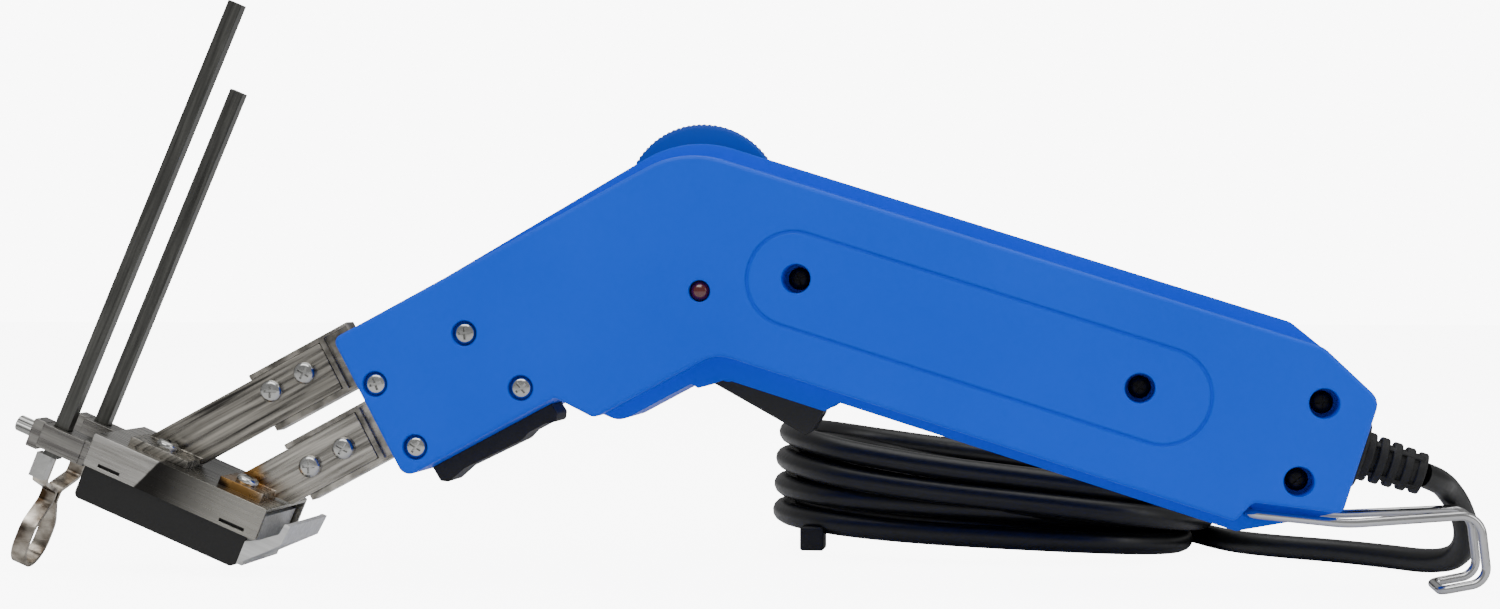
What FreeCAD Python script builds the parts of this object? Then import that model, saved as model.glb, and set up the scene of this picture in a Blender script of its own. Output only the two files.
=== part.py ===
"""Hand-held hot-knife foam cutter with a grooving sled, as an assembly of separate solids.

The tool stands on a flat surface at z = 0. +X runs from the sled to the cord, the left side of the
housing faces -Y and +Z is up. Every size below is in millimetres, every angle in degrees.

Three local frames lie in the XZ plane, and each piece is placed in one of them:
    nose(s, t)   from the apex of the top edge along the nose towards the blades, t into the housing
    grip(s, t)   from the same apex along the grip towards the cord, t into the housing
    sled(u, w)   from the sled's top left corner along the sled, w away from the work
"""
import FreeCAD, Part
import math
import os

import Sketcher
from FreeCAD import Placement, Rotation, Vector

SIZES = {
    # housing
    "apex_x": -6.3,
    "apex_z": 106.8,
    "nose_angle": 28.0,
    "grip_angle": 17.5,
    "nose_length": 99.3,
    "nose_height": 38.8,
    "grip_length": 174.8,
    "grip_height": 45.2,
    "bend_radius": 24.0,
    "rim_rise": 3.4,
    "rim_drop": 2.7,
    "belly_drop": 12.3,
    "rim_half": 12.0,
    "panel_half": 21.0,
    "wall": 2.4,
    "panel_edge_radius": 1.1,
    "groove_radius": 11.8,
    "groove_width": 0.7,
    "groove_depth": 0.35,
    "boss_wall": 1.7,
    # screws of the housing
    "nose_hole_radius": 3.15,
    "nose_hole_depth": 2.2,
    "grip_hole_radius": 3.55,
    "grip_hole_depth": 9.0,
    "shell_head_radius": 2.75,
    "shell_head_height": 1.9,
    "shell_shank_radius": 1.5,
    "shell_screw_length": 24.0,
    # blade holders and legs
    "holder_width": 16.0,
    "holder_reach": 29.8,
    "holder_depth": 6.0,
    "holder_front": 1.0,
    "root_width": 8.0,
    "root_depth": 5.0,
    "leg_width": 13.0,
    "leg_thickness": 2.0,
    "foot_reach": 11.0,
    "holder_pitch": 20.0,
    "blade_screw_pitch": 10.0,
    "blade_head_radius": 2.9,
    "blade_head_height": 1.9,
    "blade_shank_radius": 1.5,
    # sled
    "sled_gap": 67.4,
    "sled_lift": 8.5,
    "sled_angle": 22.5,
    "sled_length": 48.8,
    "sled_half": 16.0,
    "flange_height": 8.5,
    "sheet": 1.2,
    "runner_height": 16.0,
    "ski_rise": 9.0,
    "ski_flange": 5.2,
    # rods, clamps and loop
    "rod_width": 3.8,
    "rod_depth": 3.2,
    "rod_spacing": 25.0,
    "rod_lean": 0.8,
    "near_rod_height": 114.0,
    "far_rod_height": 92.0,
    "rod_foot": -10.6,
    "clamp_length": 11.6,
    "clamp_height": 6.2,
    "clamp_depth": 7.6,
    "clamp_top": -2.8,
    "clamp_gap": 0.25,
    "thumb_radius": 2.1,
    "thumb_length": 4.6,
    "thumb_shank_radius": 1.2,
    "loop_width": 4.0,
    "loop_thickness": 1.1,
    "loop_radius": 6.2,
    "loop_drop": 42.1,
    "neck_gap": 1.5,
    "depth_travel": 60.0,
    # controls
    "dial_s": 5.6,
    "dial_t": 11.5,
    "dial_radius": 19.4,
    "dial_thickness": 8.0,
    "dial_gap": 0.6,
    "shaft_radius": 3.0,
    "trigger_width": 10.0,
    "trigger_gap": 0.5,
    "trigger_pin_radius": 1.5,
    "trigger_pin_gap": 0.06,
    "trigger_travel": 6.0,
    "lamp_radius": 2.5,
    "lamp_hole_radius": 2.65,
    # tail
    "relief_length": 15.0,
    "relief_root_radius": 6.0,
    "relief_tip_radius": 5.1,
    "relief_flange_radius": 8.4,
    "relief_flange_thickness": 2.4,
    "relief_neck_radius": 4.6,
    "bail_radius": 1.1,
    "bail_spread": 15.5,
    "bail_hook_spread": 8.0,
    "bail_pin_gap": 0.08,
    "cord_radius": 3.1,
}

doc = FreeCAD.newDocument("hot_knife_foam_cutter")
table = doc.addObject("Spreadsheet::Sheet", "Sizes")
for row, (alias, size) in enumerate(SIZES.items(), start=1):
    table.set(f"A{row}", alias)
    table.set(f"B{row}", str(size))
    table.setAlias(f"B{row}", alias)
doc.recompute()

nodes = []


def cell(alias):
    """One driving size, read back from the sheet."""
    return float(table.get(alias))


def keep(shape_object, label):
    """Gives a finished object its node name and lists it for export."""
    shape_object.Label = label
    nodes.append(shape_object)
    return shape_object


def bind(target, **expressions):
    """Ties properties of an object to cells of the sheet."""
    for name, expression in expressions.items():
        target.setExpression(name, expression)


# ---- frames in the XZ plane ---------------------------------------------------------------------


def nose(along, inward):
    """World (x, z) of a point given along the nose and into the housing."""
    turn = math.radians(cell("nose_angle"))
    x = cell("apex_x") - along * math.cos(turn) + inward * math.sin(turn)
    z = cell("apex_z") - along * math.sin(turn) - inward * math.cos(turn)
    return x, z


def grip(along, inward):
    """World (x, z) of a point given along the grip and into the housing."""
    turn = math.radians(cell("grip_angle"))
    x = cell("apex_x") + along * math.cos(turn) - inward * math.sin(turn)
    z = cell("apex_z") - along * math.sin(turn) - inward * math.cos(turn)
    return x, z


def sled(along, up):
    """World (x, z) of a point given along the sled and away from the work."""
    turn = math.radians(cell("sled_angle"))
    start_x, start_z = nose(cell("nose_length") + cell("sled_gap"), -cell("sled_lift"))
    x = start_x + along * math.cos(turn) + up * math.sin(turn)
    z = start_z - along * math.sin(turn) + up * math.cos(turn)
    return x, z


def turned(x, z, y, angle):
    """Placement at a point of the XZ plane, with local x turned down by an angle about +Y."""
    return Placement(Vector(x, y, z), Rotation(Vector(0, 1, 0), angle))


# ---- outlines -----------------------------------------------------------------------------------


def corner(frame, along, across, radius=0.0):
    """One corner of an outline: world x, world z and the radius that rounds it."""
    x, z = frame(along, across)
    return x, z, radius


def inset(outline, distance):
    """The outline moved inward by a distance, walking clockwise as seen from -Y."""
    count = len(outline)
    moved = []
    for index, (x, z, radius) in enumerate(outline):
        before = Vector(*outline[index - 1][:2], 0)
        after = Vector(*outline[(index + 1) % count][:2], 0)
        here = Vector(x, z, 0)
        first = (here - before).normalize()
        second = (after - here).normalize()
        inward_first = Vector(first.y, -first.x, 0)
        inward_second = Vector(second.y, -second.x, 0)
        bisector = (inward_first + inward_second).normalize()
        reach = distance / bisector.dot(inward_first)
        point = here + bisector * reach
        convex = first.cross(second).z < 0
        new_radius = max(radius - distance, 0.0) if convex else radius + distance
        moved.append((point.x, point.y, new_radius if radius else 0.0))
    return moved


def rounded_edges(outline):
    """Line segments and tangent arcs of a closed outline, as (geometry, is_arc) in sketch x and y."""
    count = len(outline)
    ends = []
    for index, (x, z, radius) in enumerate(outline):
        here = Vector(x, z, 0)
        before = Vector(*outline[index - 1][:2], 0)
        after = Vector(*outline[(index + 1) % count][:2], 0)
        back = (before - here).normalize()
        ahead = (after - here).normalize()
        half = math.acos(max(-1.0, min(1.0, back.dot(ahead)))) / 2
        room = 0.49 * min((before - here).Length, (after - here).Length)
        cut = min(radius / math.tan(half), room) if radius else 0.0
        if cut < 1e-3:
            ends.append((here, here, None))
            continue
        true_radius = cut * math.tan(half)
        centre = here + (back + ahead).normalize() * (true_radius / math.sin(half))
        middle = centre + (here - centre).normalize() * true_radius
        ends.append((here + back * cut, here + ahead * cut, middle))
    edges = []
    for index, (start, finish, middle) in enumerate(ends):
        if middle is not None:
            edges.append(Part.Arc(start, middle, finish))
        following = ends[(index + 1) % count][0]
        if (following - finish).Length > 1e-4:
            edges.append(Part.LineSegment(finish, following))
    return edges


# ---- features -----------------------------------------------------------------------------------


def new_body(name):
    """An empty PartDesign body."""
    return doc.addObject("PartDesign::Body", name)


def plane_of(body, role):
    """One of the body's own origin planes."""
    return next(item for item in body.Origin.OriginFeatures if item.Role == role)


def flat_sketch(body, role, offset, outlines=(), circles=()):
    """A sketch on an origin plane, moved along its normal by an expression.

    outlines are closed lists of corners; circles are (x, y, radius expression)."""
    sketch = body.newObject("Sketcher::SketchObject", f"{body.Name}_sketch")
    sketch.AttachmentSupport = (plane_of(body, role), [""])
    sketch.MapMode = "FlatFace"
    sketch.setExpression("AttachmentOffset.Base.z", offset)
    for outline in outlines:
        for edge in rounded_edges(outline):
            sketch.addGeometry(edge, False)
    for x, y, radius in circles:
        at = sketch.addGeometry(Part.Circle(Vector(x, y, 0), Vector(0, 0, 1), 1.0), False)
        number = sketch.addConstraint(Sketcher.Constraint("Radius", at, 1.0))
        sketch.setExpression(f"Constraints[{number}]", radius)
    return sketch


def add_slab(body, outlines, near, far, circles=()):
    """Pads XZ outlines between two expressions of Y, near below far."""
    sketch = flat_sketch(body, "XZ_Plane", f"-({far})", outlines, circles)
    pad = body.newObject("PartDesign::Pad", f"{body.Name}_pad")
    pad.Profile = sketch
    pad.setExpression("Length", f"({far}) - ({near})")
    doc.recompute()
    return pad


def cut_slab(body, outlines, near, far, circles=()):
    """Pockets XZ outlines or circles between two expressions of Y, and checks that it cuts."""
    before = body.Shape.Volume
    sketch = flat_sketch(body, "XZ_Plane", f"-({near})", outlines, circles)
    pocket = body.newObject("PartDesign::Pocket", f"{body.Name}_pocket")
    pocket.Profile = sketch
    pocket.setExpression("Length", f"({far}) - ({near})")
    doc.recompute()
    if body.Shape.Volume > before - 1e-3:
        raise RuntimeError(f"{body.Name}: a pocket between {near} and {far} cuts nothing")
    return pocket


def cylinder(name, radius, height, placement):
    """A Part cylinder along its local z, with its sizes tied to the sheet."""
    item = doc.addObject("Part::Cylinder", name)
    bind(item, Radius=radius, Height=height)
    item.Placement = placement
    return item


def box(name, length, width, height, placement):
    """A Part box with its sizes tied to the sheet."""
    item = doc.addObject("Part::Box", name)
    bind(item, Length=length, Width=width, Height=height)
    item.Placement = placement
    return item


def fused(name, items):
    """The union of several objects."""
    item = doc.addObject("Part::MultiFuse", name)
    item.Shapes = items
    return item


def cut(name, base, tool):
    """The base without the tool."""
    item = doc.addObject("Part::Cut", name)
    item.Base = base
    item.Tool = tool
    return item


def group(label, items):
    """One node of several separate solids."""
    item = doc.addObject("Part::Compound", label)
    item.Links = items
    return keep(item, label)


def cross_screw(name, sizes, length, placement):
    """A cross-recessed screw: its head's underside at the placement, its head along local z.

    sizes is the prefix of the head's and shank's cells."""
    head = cylinder(f"{name}_head", f"Sizes.{sizes}_head_radius", f"Sizes.{sizes}_head_height", Placement())
    shank = cylinder(f"{name}_shank", f"Sizes.{sizes}_shank_radius", length, Placement())
    shank.setExpression("Placement.Base.z", f"-({length})")
    whole = fused(f"{name}_blank", [head, shank])
    span = f"Sizes.{sizes}_head_radius * 1.1"
    slots = []
    for turn in (0, 90):
        slot = box(f"{name}_slot{turn}", span, "0.7", "1.2", Placement())
        spin = Rotation(Vector(0, 0, 1), turn)
        half = cell(f"{sizes}_head_radius") * 0.55
        lift = cell(f"{sizes}_head_height") - 1.0
        slot.Placement = Placement(spin.multVec(Vector(-half, -0.35, 0)) + Vector(0, 0, lift), spin)
        slots.append(slot)
    screw = cut(name, whole, fused(f"{name}_cross", slots))
    screw.Placement = placement
    return screw


def facing_near(x, z, y):
    """Placement with local z towards -Y."""
    return Placement(Vector(x, y, z), Rotation(Vector(1, 0, 0), 90))


def tangent_path(points, radii):
    """A wire of straight runs joined by tangent arcs."""
    edges = []
    start = points[0]
    for here, following, radius in zip(points[1:-1], points[2:], radii):
        back = (start - here).normalize()
        ahead = (following - here).normalize()
        half = math.acos(back.dot(ahead)) / 2
        cut_back = radius / math.tan(half)
        centre = here + (back + ahead).normalize() * (radius / math.sin(half))
        middle = centre + (here - centre).normalize() * radius
        arc_start = here + back * cut_back
        arc_end = here + ahead * cut_back
        edges.append(Part.LineSegment(start, arc_start).toShape())
        edges.append(Part.Arc(arc_start, middle, arc_end).toShape())
        start = arc_end
    edges.append(Part.LineSegment(start, points[-1]).toShape())
    return Part.Wire(edges)


def arc_radii(points):
    """For each inner point: 0.45 of its shorter run over the tangent of half its turn."""
    radii = []
    for before, here, after in zip(points, points[1:], points[2:]):
        back, ahead = before - here, after - here
        turn = math.pi - back.getAngle(ahead)
        radii.append(0.45 * min(back.Length, ahead.Length) / math.tan(turn / 2))
    return radii


def swept(label, section, path):
    """A section object swept along a wire, as a solid node."""
    spine = doc.addObject("Part::Feature", f"{label}_path")
    spine.Shape = path
    item = doc.addObject("Part::Sweep", label)
    item.Sections = [section]
    item.Spine = (spine, [f"Edge{number + 1}" for number in range(len(path.Edges))])
    item.Solid = True
    item.Frenet = False
    item.Transition = "Right corner"
    return item


def round_section(name, radius, point, direction):
    """A circle square to a direction."""
    item = doc.addObject("Part::Circle", name)
    bind(item, Radius=radius)
    item.Placement = Placement(point, Rotation(Vector(0, 0, 1), direction))
    return item


def crossing(first, first_across, second, second_across):
    """Where a line of one frame meets a line of another; each runs along its frame."""
    start = Vector(*first(0.0, first_across), 0)
    along = Vector(*first(1.0, first_across), 0) - start
    other = Vector(*second(0.0, second_across), 0)
    across = Vector(*second(1.0, second_across), 0) - other
    reach = (other - start).cross(across).z / along.cross(across).z
    point = start + along * reach
    return point.x, point.y


def oblong(frame, start, end, middle, radius):
    """A slot outline with round ends: from start to end along a frame, about a middle line."""
    ends = (
        (start - radius, middle - radius),
        (end + radius, middle - radius),
        (end + radius, middle + radius),
        (start - radius, middle + radius),
    )
    return [corner(frame, along, across, radius) for along, across in ends]


def block(frame, start, end, low, high, radius=0.0):
    """A rectangular outline in a frame."""
    ends = ((start, low), (end, low), (end, high), (start, high))
    return [corner(frame, along, across, radius) for along, across in ends]


# ---- places that several pieces share -----------------------------------------------------------

RECESS_T = 39.6  # where the panels' lower edge steps up to clear the bail
GUARD_T = 51.0  # the lower edge of the rim that guards the trigger
NOSE_END = SIZES["nose_length"]
GRIP_END = SIZES["grip_length"]
NOSE_SCREWS = (
    (NOSE_END - 4.5, 14.9),
    (NOSE_END - 6.2, 33.3),
    (NOSE_END - 30.3, 14.4),
    (NOSE_END - 36.5, 32.8),
)
GRIP_SCREWS = ((35.9, 22.0), (GRIP_END - 53.3, 22.1), (GRIP_END - 11.8, 12.5), (GRIP_END - 11.8, 31.7))
LAMP = (14.4, 31.9)
TRIGGER_PIVOT = (25.5, 48.6)
BAIL_PIVOT = (GRIP_END - 19.8, 42.7)
CORD_T = 22.0
BOARD_POSTS = ((62.0, 11.0), (62.0, 33.0), (102.0, 11.0), (102.0, 33.0))


def panel_outline():
    """The raised flat side panel of a shell, clockwise from the top of the nose."""
    length = cell("nose_length")
    height = cell("nose_height")
    rear = cell("grip_length")
    belly = height + cell("belly_drop") - cell("rim_rise")
    inner_x, inner_z = crossing(nose, belly, grip, cell("grip_height"))
    return [
        corner(nose, length, 0, 2.0),
        (cell("apex_x"), cell("apex_z"), cell("bend_radius")),
        corner(grip, rear - 15.8, 0, 6.0),
        corner(grip, rear, 7.8, 4.0),
        corner(grip, rear, 35.8, 2.0),
        corner(grip, rear - 20.2, RECESS_T, 2.2),
        corner(grip, rear - 23.0, cell("grip_height"), 1.5),
        (inner_x, inner_z, 10.0),
        corner(nose, 50.2, belly, 2.5),
        corner(nose, 56.5, height, 1.5),
        corner(nose, length, height, 3.0),
    ]


def rim_outline():
    """The wider middle band of the housing, clockwise from the top of the nose."""
    length = cell("nose_length")
    height = cell("nose_height")
    rear = cell("grip_length")
    rise = cell("rim_rise")
    belly = height + cell("belly_drop")
    lower = cell("grip_height") + cell("rim_drop")
    top_x, top_z = crossing(nose, -rise, grip, -rise)
    return [
        corner(nose, length, 0, 2.0),
        (top_x, top_z, cell("bend_radius") + rise),
        corner(grip, rear - 24.3, -rise, 4.0),
        corner(grip, rear - 15.6, 0.1, 2.0),
        corner(grip, rear, 7.8, 4.0),
        corner(grip, rear, 36.2, 2.0),
        corner(grip, rear - 9.5, 41.6, 2.0),
        corner(grip, rear - 21.3, lower, 2.0),
        corner(grip, 53.8, lower, 0.8),
        corner(grip, 51.4, GUARD_T, 1.0),
        corner(grip, 25.8, GUARD_T, 3.0),
        corner(nose, 25.4, belly + 1.8, 0.5),
        corner(nose, 26.4, belly, 0.8),
        corner(nose, 46.5, belly, 5.0),
        corner(nose, 56.5, height, 1.5),
        corner(nose, length, height, 3.0),
    ]


# ---- housing ------------------------------------------------------------------------------------


def outer_edges(body, y):
    """Names of the body's edges that lie in the plane of one Y."""
    names = []
    for number, edge in enumerate(body.Shape.Edges, start=1):
        if all(abs(vertex.Y - y) < 1e-4 for vertex in edge.Vertexes):
            names.append(f"Edge{number}")
    return names


def shell(label, left):
    """One half of the housing: rim, raised panel, cavity, screw bosses and every opening."""
    body = new_body(label)

    def span(inner, outer):
        return (f"-({outer})", f"-({inner})") if left else (inner, outer)

    panel, rim = panel_outline(), rim_outline()
    add_slab(body, [rim], *span("0", "Sizes.rim_half"))
    add_slab(body, [panel], *span("0", "Sizes.panel_half"))
    side = -cell("panel_half") if left else cell("panel_half")
    solid = body.Tip
    edge = body.newObject("PartDesign::Fillet", f"{label}_edge")
    edge.Base = (solid, outer_edges(body, side))
    edge.setExpression("Radius", "Sizes.panel_edge_radius")
    doc.recompute()
    cut_slab(body, [inset(panel, cell("wall"))], *span("0", "Sizes.panel_half - Sizes.wall"))
    cut_slab(body, [inset(rim, cell("wall"))], *span("0", "Sizes.rim_half - Sizes.wall"))
    inner_face = "Sizes.panel_half - Sizes.wall"
    nose_spots = [nose(*spot) for spot in NOSE_SCREWS]
    grip_spots = [grip(*spot) for spot in GRIP_SCREWS]
    posts = [(x, z, "3.4") for x, z in nose_spots]
    posts += [(x, z, "Sizes.grip_hole_radius + Sizes.boss_wall") for x, z in grip_spots]
    add_slab(body, [], *span("0", inner_face), posts)
    pivot = grip(*TRIGGER_PIVOT)
    carrier = [(*pivot, "3.0")]
    add_slab(body, [], *span("Sizes.trigger_width / 2 + Sizes.trigger_gap", "Sizes.rim_half - 1"), carrier)
    dial_x, dial_z = grip(cell("dial_s"), cell("dial_t"))
    if left:
        add_slab(body, [], *span("6", inner_face), [(*grip(*spot), "2.5") for spot in BOARD_POSTS])
        bores = [(x, z, "Sizes.nose_hole_radius") for x, z in nose_spots]
        cut_slab(body, [], *span("Sizes.panel_half - Sizes.nose_hole_depth", "Sizes.panel_half"), bores)
        bores = [(x, z, "Sizes.grip_hole_radius") for x, z in grip_spots]
        cut_slab(body, [], *span("Sizes.panel_half - Sizes.grip_hole_depth", "Sizes.panel_half"), bores)
        lamp = [(*grip(*LAMP), "Sizes.lamp_hole_radius")]
        cut_slab(body, [], *span("Sizes.panel_half - Sizes.wall", "Sizes.panel_half"), lamp)
    else:
        add_slab(body, [], *span("13", inner_face), [(dial_x, dial_z, "6")])
        rib = block(grip, GRIP_END - 24.8, GRIP_END - 18.8, 15, 29)
        add_slab(body, [rib], *span("Sizes.cord_radius", inner_face))
    shanks = [(x, z, "Sizes.shell_shank_radius + 0.1") for x, z in nose_spots + grip_spots]
    depth = "Sizes.panel_half - 1" if left else "Sizes.panel_half - 4"
    cut_slab(body, [], *span("0", depth), shanks)
    groove = [
        oblong(grip, 35.5, GRIP_END - 47.8, 22.3, cell("groove_radius")),
        oblong(grip, 35.5, GRIP_END - 47.8, 22.3, cell("groove_radius") - cell("groove_width")),
    ]
    cut_slab(body, groove, *span("Sizes.panel_half - Sizes.groove_depth", "Sizes.panel_half"))
    half_dial = "Sizes.dial_thickness / 2 + Sizes.dial_gap"
    cut_slab(body, [], *span("0", half_dial), [(dial_x, dial_z, "Sizes.dial_radius + Sizes.dial_gap")])
    slot = block(grip, 20.5, 52.2, 44.0, 56.0)
    cut_slab(body, [slot], *span("0", "Sizes.trigger_width / 2 + Sizes.trigger_gap"))
    pin = [(*pivot, "Sizes.trigger_pin_radius")]
    cut_slab(body, [], *span("0", "Sizes.rim_half - 2.5"), pin)
    bail_bore = [(*grip(*BAIL_PIVOT), "Sizes.bail_radius + Sizes.bail_pin_gap")]
    cut_slab(body, [], *span("Sizes.rim_half - Sizes.wall - 1", "Sizes.rim_half"), bail_bore)
    rear = cell("grip_length")
    neck = block(grip, rear - cell("wall") - 2, rear + 1, CORD_T - 4.8, CORD_T + 4.8)
    cut_slab(body, [neck], *span("0", "4.8"))
    for low, high in root_spans():
        length = cell("nose_length")
        mouth = block(nose, length - cell("wall") - 1, length + 1, low - 0.2, high + 0.2)
        deep = "Sizes.holder_front + 0.2" if left else "Sizes.root_depth - Sizes.holder_front + 0.2"
        cut_slab(body, [mouth], *span("0", deep))
    tongue = block(nose, 69.8, 90.2, cell("nose_height") - cell("wall") - 0.5, cell("nose_height") + 0.5)
    cut_slab(body, [tongue], *span("0", "4.1"))
    return keep(body, label)


def root_spans():
    """The t range of each holder's root where it enters the nose, upper then lower."""
    width = cell("root_width")
    return ((2.8, 2.8 + width), (19.2, 19.2 + width))


def housing_screws():
    """The four nose screws and the four deep grip screws, one node for each kind."""
    length = "Sizes.shell_screw_length"
    nose_set = []
    for number, spot in enumerate(NOSE_SCREWS):
        x, z = nose(*spot)
        y = cell("nose_hole_depth") - cell("panel_half")
        nose_set.append(cross_screw(f"nose_screw{number}", "shell", length, facing_near(x, z, y)))
    group("nose_screws", nose_set)
    grip_set = []
    for number, spot in enumerate(GRIP_SCREWS):
        x, z = grip(*spot)
        y = cell("grip_hole_depth") - cell("panel_half")
        grip_set.append(cross_screw(f"grip_screw{number}", "shell", length, facing_near(x, z, y)))
    group("grip_screws", grip_set)


# ---- blade holders and legs ---------------------------------------------------------------------

HOLDER_TOP = -4.6  # t of the upper holder's top edge
LEG_TOP = -3.2  # t of the upper leg's top edge
LEG_START = NOSE_END + 9.3  # s where a leg ends in its holder's recess
SCREW_S = NOSE_END + 16.1  # s of the blade screw nearest the housing
UPPER_SCREW_T = 1.8
LOWER_SCREW_T = 23.5
FOOT_RANGES = ((7.5, 23.8), (33.0, 45.0))  # where each leg's foot lies along the sled
FOOT_SCREWS = (15.6, 38.6)  # where the screw of each foot stands along the sled


def blade_holder(label, lower, root):
    """A steel block with a milled recess for its leg and a narrower root inside the nose."""
    drop = cell("holder_pitch") if lower else 0.0
    front = "-Sizes.holder_front"
    start = cell("nose_length") + 0.4
    end = cell("nose_length") + cell("holder_reach")
    top = HOLDER_TOP + drop
    body = new_body(label)
    outline = block(nose, end, start, top, top + cell("holder_width"))
    add_slab(body, [outline], front, "Sizes.holder_depth - Sizes.holder_front")
    stem = block(nose, start + 0.5, NOSE_END - 20.3, *root)
    add_slab(body, [stem], front, "Sizes.root_depth - Sizes.holder_front")
    step = block(nose, start + 7.3, start + 0.6, top + 0.8, top + cell("holder_width") - 0.8)
    cut_slab(body, [step], front, f"{front} + 1.2")
    leg_top = LEG_TOP + drop
    recess = block(nose, end + 1, LEG_START - 0.2, leg_top - 0.1, leg_top + cell("leg_width") + 0.1)
    cut_slab(body, [recess], f"{front} - 0.1", f"{front} + Sizes.leg_thickness")
    screw_t = LOWER_SCREW_T if lower else UPPER_SCREW_T
    tapped = "Sizes.blade_shank_radius + 0.05"
    holes = [(*nose(SCREW_S + step, screw_t), tapped) for step in (0, blade_pitch())]
    cut_slab(body, [], front, "Sizes.holder_depth", holes)
    return keep(body, label)


def blade_leg(label, lower):
    """A flat steel leg whose end is bent into a foot on the sled."""
    drop = cell("holder_pitch") if lower else 0.0
    top = LEG_TOP + drop
    bottom = top + cell("leg_width")
    front = "-Sizes.holder_front"
    back = "Sizes.leg_thickness - Sizes.holder_front"
    screw_t = LOWER_SCREW_T if lower else UPPER_SCREW_T
    body = new_body(f"{label}_blank")
    outline = [
        corner(nose, LEG_START, top, 0.6),
        corner(nose, LEG_START, bottom, 0.6),
        (*crossing(nose, bottom, sled, 0.6), 0.0),
        (*crossing(nose, top, sled, 0.6), 0.0),
    ]
    add_slab(body, [outline], front, back)
    foot = block(sled, *FOOT_RANGES[lower], 0.0, cell("leg_thickness"))
    add_slab(body, [foot], "-Sizes.foot_reach", back)
    clear = "Sizes.blade_shank_radius + 0.1"
    holes = [(*nose(SCREW_S + step, screw_t), clear) for step in (0, blade_pitch())]
    cut_slab(body, [], f"{front} - 1", f"{back} + 1", holes)
    drilled = cut(f"{label}_drilled", body, screw_hole_through_feet(body, FOOT_SCREWS[lower]))
    return keep(drilled, label)


def blade_pitch():
    """Distance between the two screws of a leg."""
    return cell("blade_screw_pitch")


def blade_screws():
    """The two pan-head screws of each leg, and one through each foot."""
    for label, screw_t in (("upper_leg_screws", UPPER_SCREW_T), ("lower_leg_screws", LOWER_SCREW_T)):
        pair = []
        for number in range(2):
            x, z = nose(SCREW_S + number * blade_pitch(), screw_t)
            place = facing_near(x, z, -cell("holder_front"))
            pair.append(cross_screw(f"{label}{number}", "blade", "5", place))
        group(label, pair)
    feet = []
    for number, along in enumerate(FOOT_SCREWS):
        x, z = sled(along, cell("leg_thickness"))
        turn = Rotation(Vector(0, 1, 0), cell("sled_angle"))
        feet.append(cross_screw(f"foot_screw{number}", "blade", "9", Placement(Vector(x, -6.2, z), turn)))
    group("foot_screws", feet)


def screw_hole_through_feet(body, along):
    """Clearance hole for a foot screw, square to the sled."""
    x, z = sled(along, -12.0)
    turn = Rotation(Vector(0, 1, 0), cell("sled_angle"))
    place = Placement(Vector(x, -6.2, z), turn)
    return cylinder(f"{body.Label}_hole{int(along)}", "Sizes.blade_shank_radius + 0.1", "20", place)


# ---- sled ---------------------------------------------------------------------------------------


def sled_parts():
    """The folded channel, the insulating runner inside it and the turned-up ski at its end."""
    length = cell("sled_length")
    sheet = cell("sheet")
    height = cell("flange_height")
    channel = new_body("channel_blank")
    add_slab(channel, [block(sled, 0, length, -sheet, 0, 0.4)], "-Sizes.sled_half", "Sizes.sled_half")
    flange = [corner(sled, 0, 0, 0.4), corner(sled, length, 0, 0.4)]
    flange += [corner(sled, length, -height, 0.6), corner(sled, 0, -height, 0.6)]
    add_slab(channel, [flange], "-Sizes.sled_half", "Sizes.sheet - Sizes.sled_half")
    add_slab(channel, [flange], "Sizes.sled_half - Sizes.sheet", "Sizes.sled_half")
    slots = [block(sled, low, high, 0.9 - height, 1.8 - height) for low, high in ((3.8, 9.9), (38.2, 45.2))]
    cut_slab(channel, slots, "-Sizes.sled_half - 1", "Sizes.sled_half + 1")
    runner = new_body("runner_blank")
    outline = [
        corner(sled, 0.3, -sheet),
        corner(sled, length - 2.6, -sheet),
        corner(sled, length - 2.6, -sheet - cell("runner_height"), 1.8),
        corner(sled, 0.3, -sheet - cell("runner_height"), 1.5),
    ]
    add_slab(runner, [outline], "Sizes.sheet - Sizes.sled_half", "Sizes.sled_half - Sizes.sheet")
    holed = []
    for body in (channel, runner):
        tools = [screw_hole_through_feet(body, along) for along in FOOT_SCREWS]
        holed.append(cut(f"{body.Name}_drilled", body, fused(f"{body.Name}_holes", tools)))
    keep(holed[0], "sled_channel")
    keep(holed[1], "sled_runner")
    ski_start = length - 2.6
    base = -sheet - cell("runner_height") + 1.0
    rise = cell("ski_rise")
    ski = new_body("ski_plate")
    tab = block(sled, ski_start, ski_start + sheet, base, -3.2)
    add_slab(ski, [tab], "-Sizes.sled_half + Sizes.sheet * 2", "Sizes.sled_half - Sizes.sheet * 2")
    web = [
        corner(sled, ski_start, base),
        corner(sled, ski_start + rise, base + rise),
        corner(sled, ski_start + rise + 0.5, base + rise + 5.4),
        corner(sled, ski_start + rise - 0.7, base + rise + 5.4),
        corner(sled, ski_start + rise - 1.0, base + rise + 0.7),
        corner(sled, ski_start, base + 1.7),
    ]
    edge_flange = [
        corner(sled, ski_start, base),
        corner(sled, ski_start + rise, base + rise),
        corner(sled, ski_start + rise + 0.5, base + rise + 5.4, 0.4),
        corner(sled, ski_start + rise - 1.1, base + rise + 5.4, 0.4),
        corner(sled, ski_start + rise - 1.5, base + rise + 2.4, 1.0),
        corner(sled, ski_start + 3.4, base + cell("ski_flange") + 3.0, 1.0),
        corner(sled, ski_start, base + cell("ski_flange") + 1.2),
    ]
    add_slab(ski, [web], "-Sizes.sled_half + Sizes.sheet", "Sizes.sled_half - Sizes.sheet")
    add_slab(ski, [edge_flange], "-Sizes.sled_half + Sizes.sheet", "-Sizes.sled_half + Sizes.sheet * 2")
    add_slab(ski, [edge_flange], "Sizes.sled_half - Sizes.sheet * 2", "Sizes.sled_half - Sizes.sheet")
    keep(ski, "ski_plate")


# ---- clamps, rods and the loop ------------------------------------------------------------------

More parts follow.
